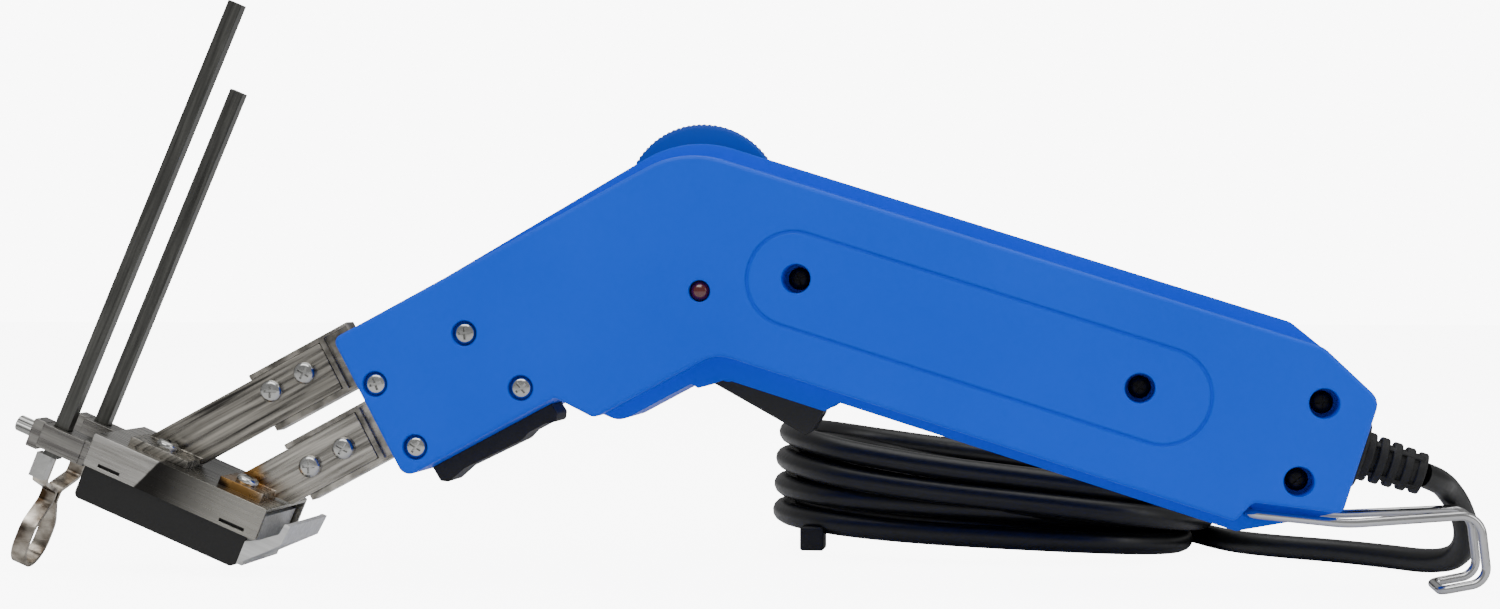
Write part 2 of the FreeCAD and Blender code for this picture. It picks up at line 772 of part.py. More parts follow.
ROD_U = -9.4  # where the rods' axis crosses the sled's top line
CLAMP_START = -13.2
LOOP_U = -11.1
THUMB_W = -6.0


def rod_turn():
    """Lean of the rods from the vertical, in degrees."""
    return cell("sled_angle") + cell("rod_lean")


def rod_place(up, y):
    """Placement of the low end of a rod: local z runs up the rod, local x across it."""
    x, z = sled(ROD_U, 0)
    turn = math.radians(rod_turn())
    return Placement(
        Vector(x + up * math.sin(turn), y, z + up * math.cos(turn)),
        Rotation(Vector(0, 1, 0), rod_turn()),
    )


def rod_box(name, side, bottom, top, slack):
    """A square bar on a rod's axis, wider than the rod by a slack on every side."""
    place = rod_place(cell(bottom) if isinstance(bottom, str) else bottom, side * cell("rod_spacing") / 2)
    width = cell("rod_width") / 2 + slack
    depth = cell("rod_depth") / 2 + slack
    place.Base = place.Base + place.Rotation.multVec(Vector(-width, -depth, 0))
    low = f"Sizes.{bottom}" if isinstance(bottom, str) else str(bottom)
    high = f"Sizes.{top}" if isinstance(top, str) else str(top)
    return box(
        name,
        f"Sizes.rod_width + {2 * slack}",
        f"Sizes.rod_depth + {2 * slack}",
        f"({high}) - ({low})",
        place,
    )


def clamps_and_rods():
    """For each side: a clamp on the cross bar, its thumb screw and the rod that slides in it."""
    bar = new_body("clamp_bar")
    outline = block(sled, CLAMP_START + cell("clamp_length"), 0.0, -9.0, -2.6)
    add_slab(bar, [outline], "-Sizes.sled_half", "Sizes.sled_half")
    keep(bar, "clamp_bar")
    middle = cell("rod_spacing") / 2
    for name, side in (("near", -1), ("far", 1)):
        body = new_body(f"{name}_clamp_blank")
        low, high = side * middle - cell("clamp_depth") / 2, side * middle + cell("clamp_depth") / 2
        top = cell("clamp_top")
        foot = top - cell("clamp_height")
        jaw = block(sled, CLAMP_START, CLAMP_START + cell("clamp_length"), foot, top, 0.3)
        add_slab(body, [jaw], str(low), str(high))
        end = block(sled, CLAMP_START - 3.0, CLAMP_START + 0.3, foot - 1.0, top + 0.2, 0.4)
        add_slab(body, [end], str(side * middle - 3.0), str(side * middle + 3.0))
        x, z = sled(CLAMP_START - 4.0, THUMB_W)
        aim = Rotation(Vector(0, 1, 0), 90 + cell("sled_angle"))
        place = Placement(Vector(x, side * middle, z), aim)
        thread = cylinder(f"{name}_thread", "Sizes.thumb_shank_radius + 0.06", "6", place)
        bore = rod_box(f"{name}_bore", side, -12.0, 2.0, cell("clamp_gap"))
        keep(cut(f"{name}_clamp", body, fused(f"{name}_clamp_cuts", [thread, bore])), f"{name}_clamp")
        x, z = sled(CLAMP_START - 3.2 - cell("thumb_length"), THUMB_W)
        place = Placement(Vector(x, side * middle, z), aim)
        knob = cylinder(f"{name}_knob", "Sizes.thumb_radius", "Sizes.thumb_length", place)
        reach = "Sizes.thumb_length + 4.9"
        shank = cylinder(f"{name}_thumb_shank", "Sizes.thumb_shank_radius", reach, place)
        keep(fused(f"{name}_clamp_screw", [knob, shank]), f"{name}_clamp_screw")
        rod = rod_box(f"{name}_rod", side, "rod_foot", f"{name}_rod_height", 0.0)
        keep(rod, f"{name}_rod")


def loop_blade():
    """The resistance band: two upright ends, a narrow neck and a round loop that cuts the groove."""
    end = cell("rod_spacing") / 2 - 2.1
    neck = (cell("neck_gap") + cell("loop_thickness")) / 2
    wide = cell("loop_radius")
    drop = -cell("loop_drop")
    half = [(-end, -11.0), (-end, -18.2), (-neck, -21.2), (-neck, -24.6), (-wide, -31.2), (-wide, drop)]
    radii = [1.6, 1.4, 2.2, 6.0, wide - 0.01]
    flat = half + [(-y, w) for y, w in reversed(half)]
    points = []
    for y, w in flat:
        x, z = sled(LOOP_U, w)
        points.append(Vector(x, y, z))
    path = tangent_path(points, radii + list(reversed(radii)))
    across = Rotation(Vector(0, 1, 0), cell("sled_angle"))
    section = doc.addObject("Part::Feature", "band_section")
    wide_half = across.multVec(Vector(cell("loop_width") / 2, 0, 0))
    thin_half = Vector(0, cell("loop_thickness") / 2, 0)
    corners = [wide_half + thin_half, wide_half - thin_half, -wide_half - thin_half, -wide_half + thin_half]
    section.Shape = Part.makePolygon([points[0] + offset for offset in corners + corners[:1]])
    band = swept("loop_blade", section, path)
    keep(band, "loop_blade")
    terminals = []
    x, z = sled(LOOP_U - 2.0, -17.0)
    for side in (-1, 1):
        place = Placement(Vector(x, side * cell("rod_spacing") / 2 - 1.6, z), across)
        terminals.append(box(f"terminal{side + 1}", "Sizes.loop_width", "3.2", "6.4", place))
    group("loop_terminals", terminals)


# ---- inside the nose ----------------------------------------------------------------------------


def transformer():
    """The low-voltage transformer that heats the blade, and the bars that carry its current."""
    core = new_body("transformer_core")
    add_slab(core, [block(nose, 54, 24, 5, 36, 0.8)], "-12", "12")
    windows = [block(nose, 49, 29, 9, 15.5), block(nose, 49, 29, 25.5, 32)]
    cut_slab(core, windows, "-13", "13")
    keep(core, "transformer_core")
    for label, start, end in (("primary_coil", 29.4, 41.4), ("secondary_coil", 42.0, 48.6)):
        coil = new_body(label)
        add_slab(coil, [block(nose, end, start, 9.2, 31.8, 0.5)], "-16", "16")
        cut_slab(coil, [block(nose, end + 1, start - 1, 15.4, 25.6)], "-12.1", "12.1")
        keep(coil, label)
    spans = root_spans()
    for label, (low, high) in (("upper_bus_bar", spans[0]), ("lower_bus_bar", spans[1])):
        strap = new_body(label)
        reach = block(nose, NOSE_END - 16.3, 43.0, low + 1, high - 1)
        add_slab(strap, [reach], "16", "17.6")
        turn = block(nose, NOSE_END - 16.3, NOSE_END - 19.8, low + 1, high - 1)
        add_slab(strap, [turn], "Sizes.root_depth - Sizes.holder_front", "17.6")
        keep(strap, label)
    insulator = new_body("nose_insulator")
    add_slab(insulator, [block(nose, NOSE_END - 8.3, NOSE_END - 14.8, 2.6, 29.4)], "-8", "9")
    for low, high in spans:
        channel = block(nose, NOSE_END - 7.3, NOSE_END - 16.3, low, high)
        cut_slab(insulator, [channel], "-Sizes.holder_front", "Sizes.root_depth - Sizes.holder_front")
    keep(insulator, "nose_insulator")


def nose_rest():
    """The soft rest under the nose, held by a tongue through a slot in both shells."""
    height = cell("nose_height")
    outline = [
        corner(nose, 95.6, height),
        corner(nose, 95.4, height + 4.0, 0.8),
        corner(nose, 93.6, height + 5.2, 1.0),
        corner(nose, 88.6, height + 4.0, 2.0),
        corner(nose, 72.2, height + 4.6, 2.0),
        corner(nose, 69.6, height + 3.7, 1.0),
        corner(nose, 64.7, height + 3.7, 1.0),
        corner(nose, 62.2, height + 4.6, 1.0),
        corner(nose, 60.9, height + 2.8, 0.8),
        corner(nose, 61.1, height),
    ]
    rest = new_body("nose_rest")
    add_slab(rest, [outline], "-6", "6")
    tongue = block(nose, 90, 70, height - cell("wall") - 0.4, height + 1)
    add_slab(rest, [tongue], "-4", "4")
    keep(rest, "nose_rest")


# ---- controls -----------------------------------------------------------------------------------


def temperature_dial():
    """The thumb wheel on top, its shaft, and the potentiometer that the shaft turns."""
    x, z = grip(cell("dial_s"), cell("dial_t"))
    half = cell("dial_thickness") / 2
    dial = new_body("temperature_dial")
    add_slab(dial, [], "-Sizes.dial_thickness / 2", "Sizes.dial_thickness / 2", [(x, z, "Sizes.dial_radius")])
    cut_slab(dial, [], f"{-half - 1}", f"{half + 1}", [(x, z, "Sizes.shaft_radius + 0.02")])
    keep(dial, "temperature_dial")
    shaft = cylinder("dial_shaft", "Sizes.shaft_radius", f"{half + 12.4}", facing_near(x, z, 12.4))
    keep(shaft, "dial_shaft")
    body = new_body("potentiometer")
    corners = block(grip, cell("dial_s") - 6, cell("dial_s") + 7, cell("dial_t") - 6, cell("dial_t") + 6, 1)
    add_slab(body, [corners], "6", "11.8")
    cut_slab(body, [], "5", "12.6", [(x, z, "Sizes.shaft_radius + 0.06")])
    keep(body, "potentiometer")


def trigger_set():
    """The trigger, its pin, the switch above it and the return spring."""
    outline = [
        corner(grip, 22.8, 46.0, 1.5),
        corner(grip, 49.8, 46.8, 1.0),
        corner(grip, 50.4, 52.5, 1.5),
        corner(grip, 49.3, 57.0, 1.0),
        corner(grip, 48.0, 58.7, 0.8),
        corner(grip, 43.4, 57.7, 6.0),
        corner(grip, 21.8, 53.3, 0.8),
    ]
    x, z = grip(*TRIGGER_PIVOT)
    trigger = new_body("trigger")
    add_slab(trigger, [outline], "-Sizes.trigger_width / 2", "Sizes.trigger_width / 2")
    cut_slab(trigger, [], "-6", "6", [(x, z, "Sizes.trigger_pin_radius + Sizes.trigger_pin_gap")])
    keep(trigger, "trigger")
    pin = cylinder("trigger_pin", "Sizes.trigger_pin_radius", "18.6", facing_near(x, z, 9.3))
    keep(pin, "trigger_pin")
    switch = new_body("power_switch")
    add_slab(switch, [block(grip, 30, 50, 31, 41, 0.8)], "-7", "7")
    add_slab(switch, [block(grip, 33, 37, 41, 44.6, 0.5)], "-2", "2")
    keep(switch, "power_switch")
    coil_points = []
    for step in range(33):
        turn = math.radians(45 * step)
        coil_points.append(Vector(2.2 * math.cos(turn), 2.2 * math.sin(turn), 1.15 * step / 8))
    path = tangent_path(coil_points, arc_radii(coil_points))
    start = coil_points[0]
    section = round_section("spring_section", "0.3", start, coil_points[1] - start)
    spring = swept("trigger_spring", section, path)
    base_x, base_z = grip(44.5, 46.2)
    spring.Placement = turned(base_x, base_z, 0, cell("grip_angle"))
    keep(spring, "trigger_spring")


def lamp():
    """The pilot lamp behind its hole in the left panel, and the collar that holds it."""
    x, z = grip(*LAMP)
    place = facing_near(x, z, 2.5 - cell("panel_half"))
    stem = cylinder("lamp_stem", "Sizes.lamp_radius", "7", facing_near(x, z, 7.9 - cell("panel_half")))
    dome = doc.addObject("Part::Sphere", "lamp_dome")
    dome.setExpression("Radius", "Sizes.lamp_radius")
    dome.Placement = place
    keep(fused("pilot_lamp", [stem, dome]), "pilot_lamp")
    collar = new_body("lamp_collar")
    near, far = "Sizes.wall - Sizes.panel_half", "Sizes.wall - Sizes.panel_half + 4"
    add_slab(collar, [], near, far, [(x, z, "4.2")])
    cut_slab(collar, [], f"{near} - 1", f"{far} + 1", [(x, z, "Sizes.lamp_radius")])
    keep(collar, "lamp_collar")


def control_board():
    """The heat-control board on four posts, with its parts as one group."""
    board = new_body("control_board")
    add_slab(board, [block(grip, 59, 105, 8, 36, 1.0)], "-6", "-4.4")
    keep(board, "control_board")
    parts = []
    spans = ((64, 76, 14, 24, 9.0), (80, 88, 13, 20, 6.0), (80, 95, 25, 32, 7.5), (92, 99, 12, 20, 4.0))
    for number, (start, end, low, high, tall) in enumerate(spans):
        part = new_body(f"board_part{number}")
        add_slab(part, [block(grip, start, end, low, high, 0.6)], "-4.4", str(tall - 4.4))
        parts.append(part)
    group("board_components", parts)


# ---- tail ---------------------------------------------------------------------------------------


def along_grip(start, across=CORD_T):
    """Placement with local z along the grip towards the cord."""
    x, z = grip(start, across)
    return Placement(Vector(x, 0, z), Rotation(Vector(0, 1, 0), 90 + cell("grip_angle")))


def cord_entry():
    """The strain relief, the clamp that holds the cord inside, and the cord between them."""
    rear = cell("grip_length")
    wall = cell("wall")
    neck = new_body("relief_neck")
    add_slab(neck, [block(grip, rear - wall, rear + 0.2, CORD_T - 4.7, CORD_T + 4.7)], "-4.7", "4.7")
    add_slab(neck, [block(grip, rear - wall - 2, rear - wall, CORD_T - 6.5, CORD_T + 6.5)], "-6.5", "6.5")
    pieces = [neck]
    flange = "Sizes.relief_flange_thickness"
    pieces.append(cylinder("relief_flange", "Sizes.relief_flange_radius", flange, along_grip(rear)))
    start = rear + cell("relief_flange_thickness")
    core_length = "Sizes.relief_length"
    pieces.append(cylinder("relief_core", "Sizes.relief_neck_radius", core_length, along_grip(start)))
    rings = 4
    gap = 1.1
    thick = (cell("relief_length") - rings * gap) / (rings + 1)
    for number in range(rings + 1):
        share = number / rings
        radius = cell("relief_root_radius") * (1 - share) + cell("relief_tip_radius") * share
        place = along_grip(start + number * (thick + gap))
        pieces.append(cylinder(f"relief_ring{number}", str(radius), str(thick), place))
    keep(fused("strain_relief", pieces), "strain_relief")
    inner_start = GRIP_END - 43.8
    length = rear - wall - 2 - inner_start
    keep(cylinder("inner_cord", "Sizes.cord_radius", str(length), along_grip(inner_start)), "inner_cord")
    bar = new_body("cord_clamp")
    outline = block(grip, GRIP_END - 24.8, GRIP_END - 18.8, 14.5, 29.5, 1.0)
    add_slab(bar, [outline], "-Sizes.cord_radius - 3", "-Sizes.cord_radius")
    spots = [grip(GRIP_END - 21.8, across) for across in (16.6, 27.4)]
    cut_slab(bar, [], "-7", "0", [(x, z, "1.4") for x, z in spots])
    keep(bar, "cord_clamp")
    screws = []
    for number, (x, z) in enumerate(spots):
        y = -cell("cord_radius") - 3
        head = cylinder(f"clamp_screw_head{number}", "2.2", "1.6", facing_near(x, z, y))
        shank = cylinder(f"clamp_screw_shank{number}", "1.3", "6.1", facing_near(x, z, y + 6.1))
        screws.append(fused(f"cord_clamp_screw{number}", [head, shank]))
    group("cord_clamp_screws", screws)


def bail():
    """The sprung-wire bail: two legs pivoted in the rim, meeting in a hook that rests on the floor."""
    x, z = grip(*BAIL_PIVOT)
    pivot = Vector(x, 0, z)
    wide, narrow = cell("bail_spread"), cell("bail_hook_spread")
    drop = 18.36
    spine = [
        (pivot + Vector(0, -9.4, 0), None),
        (pivot + Vector(0, -wide, 0), 2.2),
        (pivot + Vector(22.8, -12.3, -2.4), 40.0),
        (pivot + Vector(53.9, -narrow, -0.2), 5.0),
        (pivot + Vector(55.7, -narrow, -16.1), 4.2),
        (pivot + Vector(44.9, -narrow, -drop), 2.2),
    ]
    points = [point for point, _ in spine]
    radii = [radius for _, radius in spine[1:]]
    points += [Vector(point.x, -point.y, point.z) for point in reversed(points)]
    radii += list(reversed(radii))
    path = tangent_path(points, radii)
    section = round_section("bail_section", "Sizes.bail_radius", points[0], Vector(0, 1, 0))
    keep(swept("bail", section, path), "bail")


# ---- supply cord --------------------------------------------------------------------------------

CORD_ROUTE = (
    (174.0, 2.6, 26.6),
    (177.2, 9.4, 24.4),
    (181.5, 14.8, 18.8),
    (184.0, 19.6, 11.5),
    (182.5, 26.0, 5.4),
    (177.0, 34.5, 3.2),
    (167.5, 46.5, 3.2),
    (155.0, 58.0, 3.2),
    (142.0, 66.5, 3.2),
    (131.5, 76.0, 3.2),
    (125.5, 88.5, 3.2),
)
COIL_CENTRE = (64.0, 85.0)
COIL_OUTER = (62.5, 45.0)
COIL_INNER = (40.0, 26.5)
TAIL_ROUTE = (
    (121.5, 84.0, 12.6),
    (121.5, 99.0, 12.8),
    (117.5, 114.5, 12.2),
    (108.5, 128.0, 10.0),
    (96.0, 139.0, 6.0),
    (81.0, 147.0, 3.6),
    (66.0, 151.0, 5.0),
    (52.0, 152.0, 7.2),
)
PLUG_SIZE = (30.0, 30.0, 13.6)


def cord():
    """The supply cord: a tube to the coil, the coil's outer shape, its tie and the plug in its middle."""
    relief = cell("relief_flange_thickness") + cell("relief_length")
    exit_x, exit_z = grip(cell("grip_length") + relief, CORD_T)
    cord_tube("cord_run", [Vector(exit_x, 0, exit_z)] + [Vector(*point) for point in CORD_ROUTE])
    coil()
    cord_tube("cord_tail", [Vector(*point) for point in TAIL_ROUTE])
    plug()


def cord_tube(label, points):
    """One stretch of cord: straight runs with the largest arcs that they allow."""
    radii = arc_radii(points)
    path = tangent_path(points, radii)
    section = round_section(f"{label}_section", "Sizes.cord_radius", points[0], points[1] - points[0])
    tube = swept(label, section, path)
    doc.recompute()
    expected = path.Length * math.pi * cell("cord_radius") ** 2
    print(f"{label} radii:", " ".join(f"{radius:.1f}" for radius in radii))
    print(f"{label}: {path.Length:.1f} long, volume {tube.Shape.Volume:.0f}, expected {expected:.0f}")
    keep(tube, label)


def oval_face(half_x, half_y):
    """A flat oval with round ends about the coil's centre, on the floor."""
    x, y = COIL_CENTRE
    radius = half_y - 0.01
    outline = [
        (x - half_x, y + half_y, radius),
        (x + half_x, y + half_y, radius),
        (x + half_x, y - half_y, radius),
        (x - half_x, y - half_y, radius),
    ]
    return Part.Face(Part.Wire([edge.toShape() for edge in rounded_edges(outline)]))


def coil():
    """The outer shape of the coiled cord: an oval ring, high where its turns fan out at the left."""
    ring = doc.addObject("Part::Feature", "coil_ring")
    tall = Vector(0, 0, 45)
    ring.Shape = oval_face(*COIL_OUTER).extrude(tall).cut(oval_face(*COIL_INNER).extrude(tall))
    left = COIL_CENTRE[0] - COIL_OUTER[0]
    right = COIL_CENTRE[0] + COIL_OUTER[0]
    side = new_body("coil_side")
    outline = [
        (left - 1, 8.0, 0.0),
        (left - 1, 34.0, 0.0),
        (left + 22, 35.0, 6.0),
        (right + 1, 16.5, 0.0),
        (right + 1, 0.0, 0.0),
        (left + 38, 0.0, 20.0),
    ]
    add_slab(side, [outline], str(COIL_CENTRE[1] - 60), str(COIL_CENTRE[1] + 60))
    shape = doc.addObject("Part::Common", "cord_coil")
    shape.Base = ring
    shape.Tool = side
    keep(shape, "cord_coil")
    bound = Placement(Vector(13.5, 52.0, 0.8), Rotation())
    keep(box("cord_tie", "6.5", "8.0", "4.6", bound), "cord_tie")


def plug():
    """A flat two-pin plug beside the coil, with the cord's end in its boot."""
    length, width, height = PLUG_SIZE
    end = Vector(*TAIL_ROUTE[-1])
    middle = Vector(end.x - 6.0 - length, end.y - width / 2, end.z - height / 2)
    body = box("plug_blank", str(length), str(width), str(height), Placement(middle, Rotation()))
    rounded = doc.addObject("Part::Fillet", "plug_rounded")
    rounded.Base = body
    doc.recompute()
    rounded.Edges = [(number + 1, 3.0, 3.0) for number in range(len(body.Shape.Edges))]
    boot = doc.addObject("Part::Cone", "plug_boot")
    bind(boot, Radius1="5.2", Radius2="Sizes.cord_radius + 1", Height="12")
    boot.Placement = Placement(end + Vector(-7, 0, 0), Rotation(Vector(0, 1, 0), 90))
    keep(fused("plug", [rounded, boot]), "plug")
    pins = []
    for side in (-1, 1):
        root = middle + Vector(0, width / 2 + side * 9.3, height / 2)
        place = Placement(root, Rotation(Vector(0, 1, 0), -90))
        pins.append(cylinder(f"pin{side + 1}", "2.0", "17", place))
    group("plug_pins", pins)


# ---- the whole tool -----------------------------------------------------------------------------


def build():
    """Makes every node, in the order in which the tool goes together."""
    shell("left_shell", True)
    shell("right_shell", False)
    housing_screws()
    blade_holder("upper_blade_holder", False, root_spans()[0])
    blade_holder("lower_blade_holder", True, root_spans()[1])
    blade_leg("upper_leg", False)
    blade_leg("lower_leg", True)
    blade_screws()
    sled_parts()
    clamps_and_rods()
    loop_blade()
    transformer()
    nose_rest()
    temperature_dial()
    trigger_set()
    lamp()
    control_board()
    cord_entry()
    bail()
    cord()


def write():
    """Checks every object and every node, then writes one STEP file for each node."""
    doc.recompute()
    for item in doc.Objects:
        if {"Invalid", "Error"} & set(item.State):
            raise RuntimeError(f"{item.Label} is {item.State}")
    for node in nodes:
        if node.Shape.isNull() or not node.Shape.isValid() or not node.Shape.Solids:
            raise RuntimeError(f"{node.Label} has no valid solid")
    os.makedirs("parts", exist_ok=True)
    for node in nodes:
        node.Shape.exportStep(f"parts/{node.Label}.step")
    print(f"{len(nodes)} nodes written")


build()
write()
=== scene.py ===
"""Finished look of a hand-held hot-knife foam cutter, built around its packed assembly.

Lengths are metres in the row frame: +X from the sled to the cord, +Z up, the left side facing -Y.
"""
import logging
import math
from dataclasses import dataclass, field
from enum import Enum
from typing import Iterable, Sequence

import bmesh
import bpy
from mathutils import Matrix, Vector


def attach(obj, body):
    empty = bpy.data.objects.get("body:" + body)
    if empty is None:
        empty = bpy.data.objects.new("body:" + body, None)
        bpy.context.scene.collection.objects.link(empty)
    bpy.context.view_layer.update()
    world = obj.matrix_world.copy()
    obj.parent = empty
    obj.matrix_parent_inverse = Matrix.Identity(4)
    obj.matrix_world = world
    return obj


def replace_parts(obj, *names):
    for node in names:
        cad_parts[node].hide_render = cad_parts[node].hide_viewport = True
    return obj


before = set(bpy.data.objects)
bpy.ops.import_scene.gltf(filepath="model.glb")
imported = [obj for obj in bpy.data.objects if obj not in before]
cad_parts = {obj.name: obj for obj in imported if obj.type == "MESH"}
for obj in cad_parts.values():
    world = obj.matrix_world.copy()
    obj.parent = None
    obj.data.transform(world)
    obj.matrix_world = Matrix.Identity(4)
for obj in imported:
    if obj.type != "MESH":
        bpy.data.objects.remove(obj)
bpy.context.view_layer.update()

LOG = logging.getLogger("hot_knife")
MM = 0.001
Colour = tuple[float, float, float]
Point = tuple[float, float, float]


# ---- finishes -----------------------------------------------------------------------------------


class Surface(Enum):
    """How the small-scale surface of a finish is made."""

    MOULDED = "moulded"
    BRUSHED = "brushed"
    MOTTLED = "mottled"
    SHEATH = "sheath"
    PLAIN = "plain"


def node_group(
    name: str, inputs: dict[str, tuple[str, object]], outputs: dict[str, str]
) -> bpy.types.NodeTree:
    """A new shader node group with named sockets.

    Args:
        name: Name of the group.
        inputs: Socket name to (socket type, default value).
        outputs: Socket name to socket type.

    Returns:
        The group's tree, with its input and output nodes in place.
    """
    tree = bpy.data.node_groups.new(name, "ShaderNodeTree")
    for label, (kind, value) in inputs.items():
        socket = tree.interface.new_socket(label, in_out="INPUT", socket_type=kind)
        if value is not None:
            socket.default_value = value
    for label, kind in outputs.items():
        tree.interface.new_socket(label, in_out="OUTPUT", socket_type=kind)
    tree.nodes.new("NodeGroupInput").name = "In"
    tree.nodes.new("NodeGroupOutput").name = "Out"
    return tree


class Wiring:
    """Short names for adding and joining nodes in one tree."""

    def __init__(self, tree: bpy.types.NodeTree) -> None:
        """Keeps the tree."""
        self.tree = tree

    def add(self, kind: str, **values: object) -> bpy.types.Node:
        """Adds a node and sets its properties."""
        node = self.tree.nodes.new(kind)
        for name, value in values.items():
            setattr(node, name, value)
        return node

    def join(self, source: bpy.types.NodeSocket, target: bpy.types.NodeSocket) -> None:
        """Links two sockets."""
        self.tree.links.new(source, target)

    def math(
        self, operation: str, first: object, second: object, clamp: bool = False
    ) -> bpy.types.NodeSocket:
        """A math node on sockets or numbers.

        Args:
            operation: Name of the operation.
            first: Socket or number.
            second: Socket or number.
            clamp: Whether the result is held to 0..1.

        Returns:
            The result's socket.
        """
        node = self.add("ShaderNodeMath", operation=operation, use_clamp=clamp)
        for socket, value in zip(node.inputs, (first, second)):
            if isinstance(value, bpy.types.NodeSocket):
                self.join(value, socket)
            else:
                socket.default_value = value
        return node.outputs[0]

    def noise(self, vector: bpy.types.NodeSocket, scale: float, detail: float = 4.0) -> bpy.types.NodeSocket:
        """The value of a noise texture on a vector."""
        node = self.add("ShaderNodeTexNoise")
        node.inputs["Scale"].default_value = scale
        node.inputs["Detail"].default_value = detail
        self.join(vector, node.inputs["Vector"])
        return node.outputs["Fac"]

    def spread(
        self, value: object, low: float, high: float, start: float, end: float
    ) -> bpy.types.NodeSocket:
        """Maps a value from low..high to start..end, clamped."""
        node = self.add("ShaderNodeMapRange")
        if isinstance(value, bpy.types.NodeSocket):
            self.join(value, node.inputs["Value"])
        for label, number in (("From Min", low), ("From Max", high), ("To Min", start), ("To Max", end)):
            node.inputs[label].default_value = number
        return node.outputs["Result"]

    def blend(self, factor: bpy.types.NodeSocket, first: object, second: object) -> bpy.types.NodeSocket:
        """Mixes two colours, each a socket or an RGBA tuple."""
        node = self.add("ShaderNodeMix", data_type="RGBA")
        self.join(factor, node.inputs[0])
        for socket, value in ((node.inputs[6], first), (node.inputs[7], second)):
            if isinstance(value, bpy.types.NodeSocket):
                self.join(value, socket)
            else:
                socket.default_value = value
        return node.outputs[2]


def rgba(colour: Colour) -> tuple[float, float, float, float]:
    """Linear RGBA of an sRGB colour."""
    linear = [c / 12.92 if c <= 0.04045 else ((c + 0.055) / 1.055) ** 2.4 for c in colour]
    return (*linear, 1.0)


def make_grain() -> bpy.types.NodeTree:
    """Fine and coarse noise of a moulded surface: a shade and a height.

    Returns:
        The node group.
    """
    vector = ("NodeSocketVector", None)
    inputs = {"Vector": vector, "Scale": ("NodeSocketFloat", 3000.0), "Spread": ("NodeSocketFloat", 0.1)}
    tree = node_group("moulded_grain", inputs, {"Shade": "NodeSocketFloat", "Height": "NodeSocketFloat"})
    wire = Wiring(tree)
    enter, leave = tree.nodes["In"], tree.nodes["Out"]
    fine = wire.add("ShaderNodeTexNoise")
    wire.join(enter.outputs["Vector"], fine.inputs["Vector"])
    wire.join(enter.outputs["Scale"], fine.inputs["Scale"])
    fine.inputs["Detail"].default_value = 3.0
    cloud = wire.noise(enter.outputs["Vector"], 22.0, 3.0)
    centred = wire.math("SUBTRACT", cloud, 0.5)
    scaled = wire.math("MULTIPLY", centred, enter.outputs["Spread"])
    wire.join(wire.math("ADD", scaled, 0.5), leave.inputs["Shade"])
    wire.join(fine.outputs["Fac"], leave.inputs["Height"])
    return tree


def make_brush() -> bpy.types.NodeTree:
    """Fine lines along one direction of a brushed or drawn metal.

    Returns:
        The node group, whose Vector has its first axis along the lines.
    """
    inputs = {"Vector": ("NodeSocketVector", None), "Scale": ("NodeSocketFloat", 900.0)}
    tree = node_group("brushed_lines", inputs, {"Lines": "NodeSocketFloat", "Cloud": "NodeSocketFloat"})
    wire = Wiring(tree)
    enter, leave = tree.nodes["In"], tree.nodes["Out"]
    stretch = wire.add("ShaderNodeMapping")
    stretch.inputs["Scale"].default_value = (0.04, 1.0, 1.0)
    wire.join(enter.outputs["Vector"], stretch.inputs["Vector"])
    lines = wire.add("ShaderNodeTexNoise")
    lines.inputs["Detail"].default_value = 6.0
    wire.join(stretch.outputs["Vector"], lines.inputs["Vector"])
    wire.join(enter.outputs["Scale"], lines.inputs["Scale"])
    wire.join(lines.outputs["Fac"], leave.inputs["Lines"])
    wire.join(wire.noise(enter.outputs["Vector"], 160.0, 5.0), leave.inputs["Cloud"])
    return tree


def make_band() -> bpy.types.NodeTree:
    """A soft step along the first axis of a vector, for a slanted reflection or a heat mark.

    Returns:
        The node group.
    """
    number = "NodeSocketFloat"
    inputs = {"Vector": ("NodeSocketVector", None), "Start": (number, 0.0), "End": (number, 0.01)}
    inputs["Ripple"] = (number, 0.0)
    tree = node_group("band_step", inputs, {"Mask": number})
    wire = Wiring(tree)
    enter, leave = tree.nodes["In"], tree.nodes["Out"]
    split = wire.add("ShaderNodeSeparateXYZ")
    wire.join(enter.outputs["Vector"], split.inputs[0])
    wave = wire.math("SUBTRACT", wire.noise(enter.outputs["Vector"], 240.0, 3.0), 0.5)
    shifted = wire.math("ADD", split.outputs["X"], wire.math("MULTIPLY", wave, enter.outputs["Ripple"]))
    step = wire.add("ShaderNodeMapRange", interpolation_type="SMOOTHSTEP")
    wire.join(shifted, step.inputs["Value"])
    wire.join(enter.outputs["Start"], step.inputs["From Min"])
    wire.join(enter.outputs["End"], step.inputs["From Max"])
    wire.join(step.outputs["Result"], leave.inputs["Mask"])
    return tree


@dataclass(frozen=True)
class Band:
    """A change of colour across a piece, along a turned axis.

    start and end are places along that axis in metres, measured from origin."""

    colour: Colour
    origin: Point
    angle: float
    start: float
    end: float
    ripple: float = 0.0


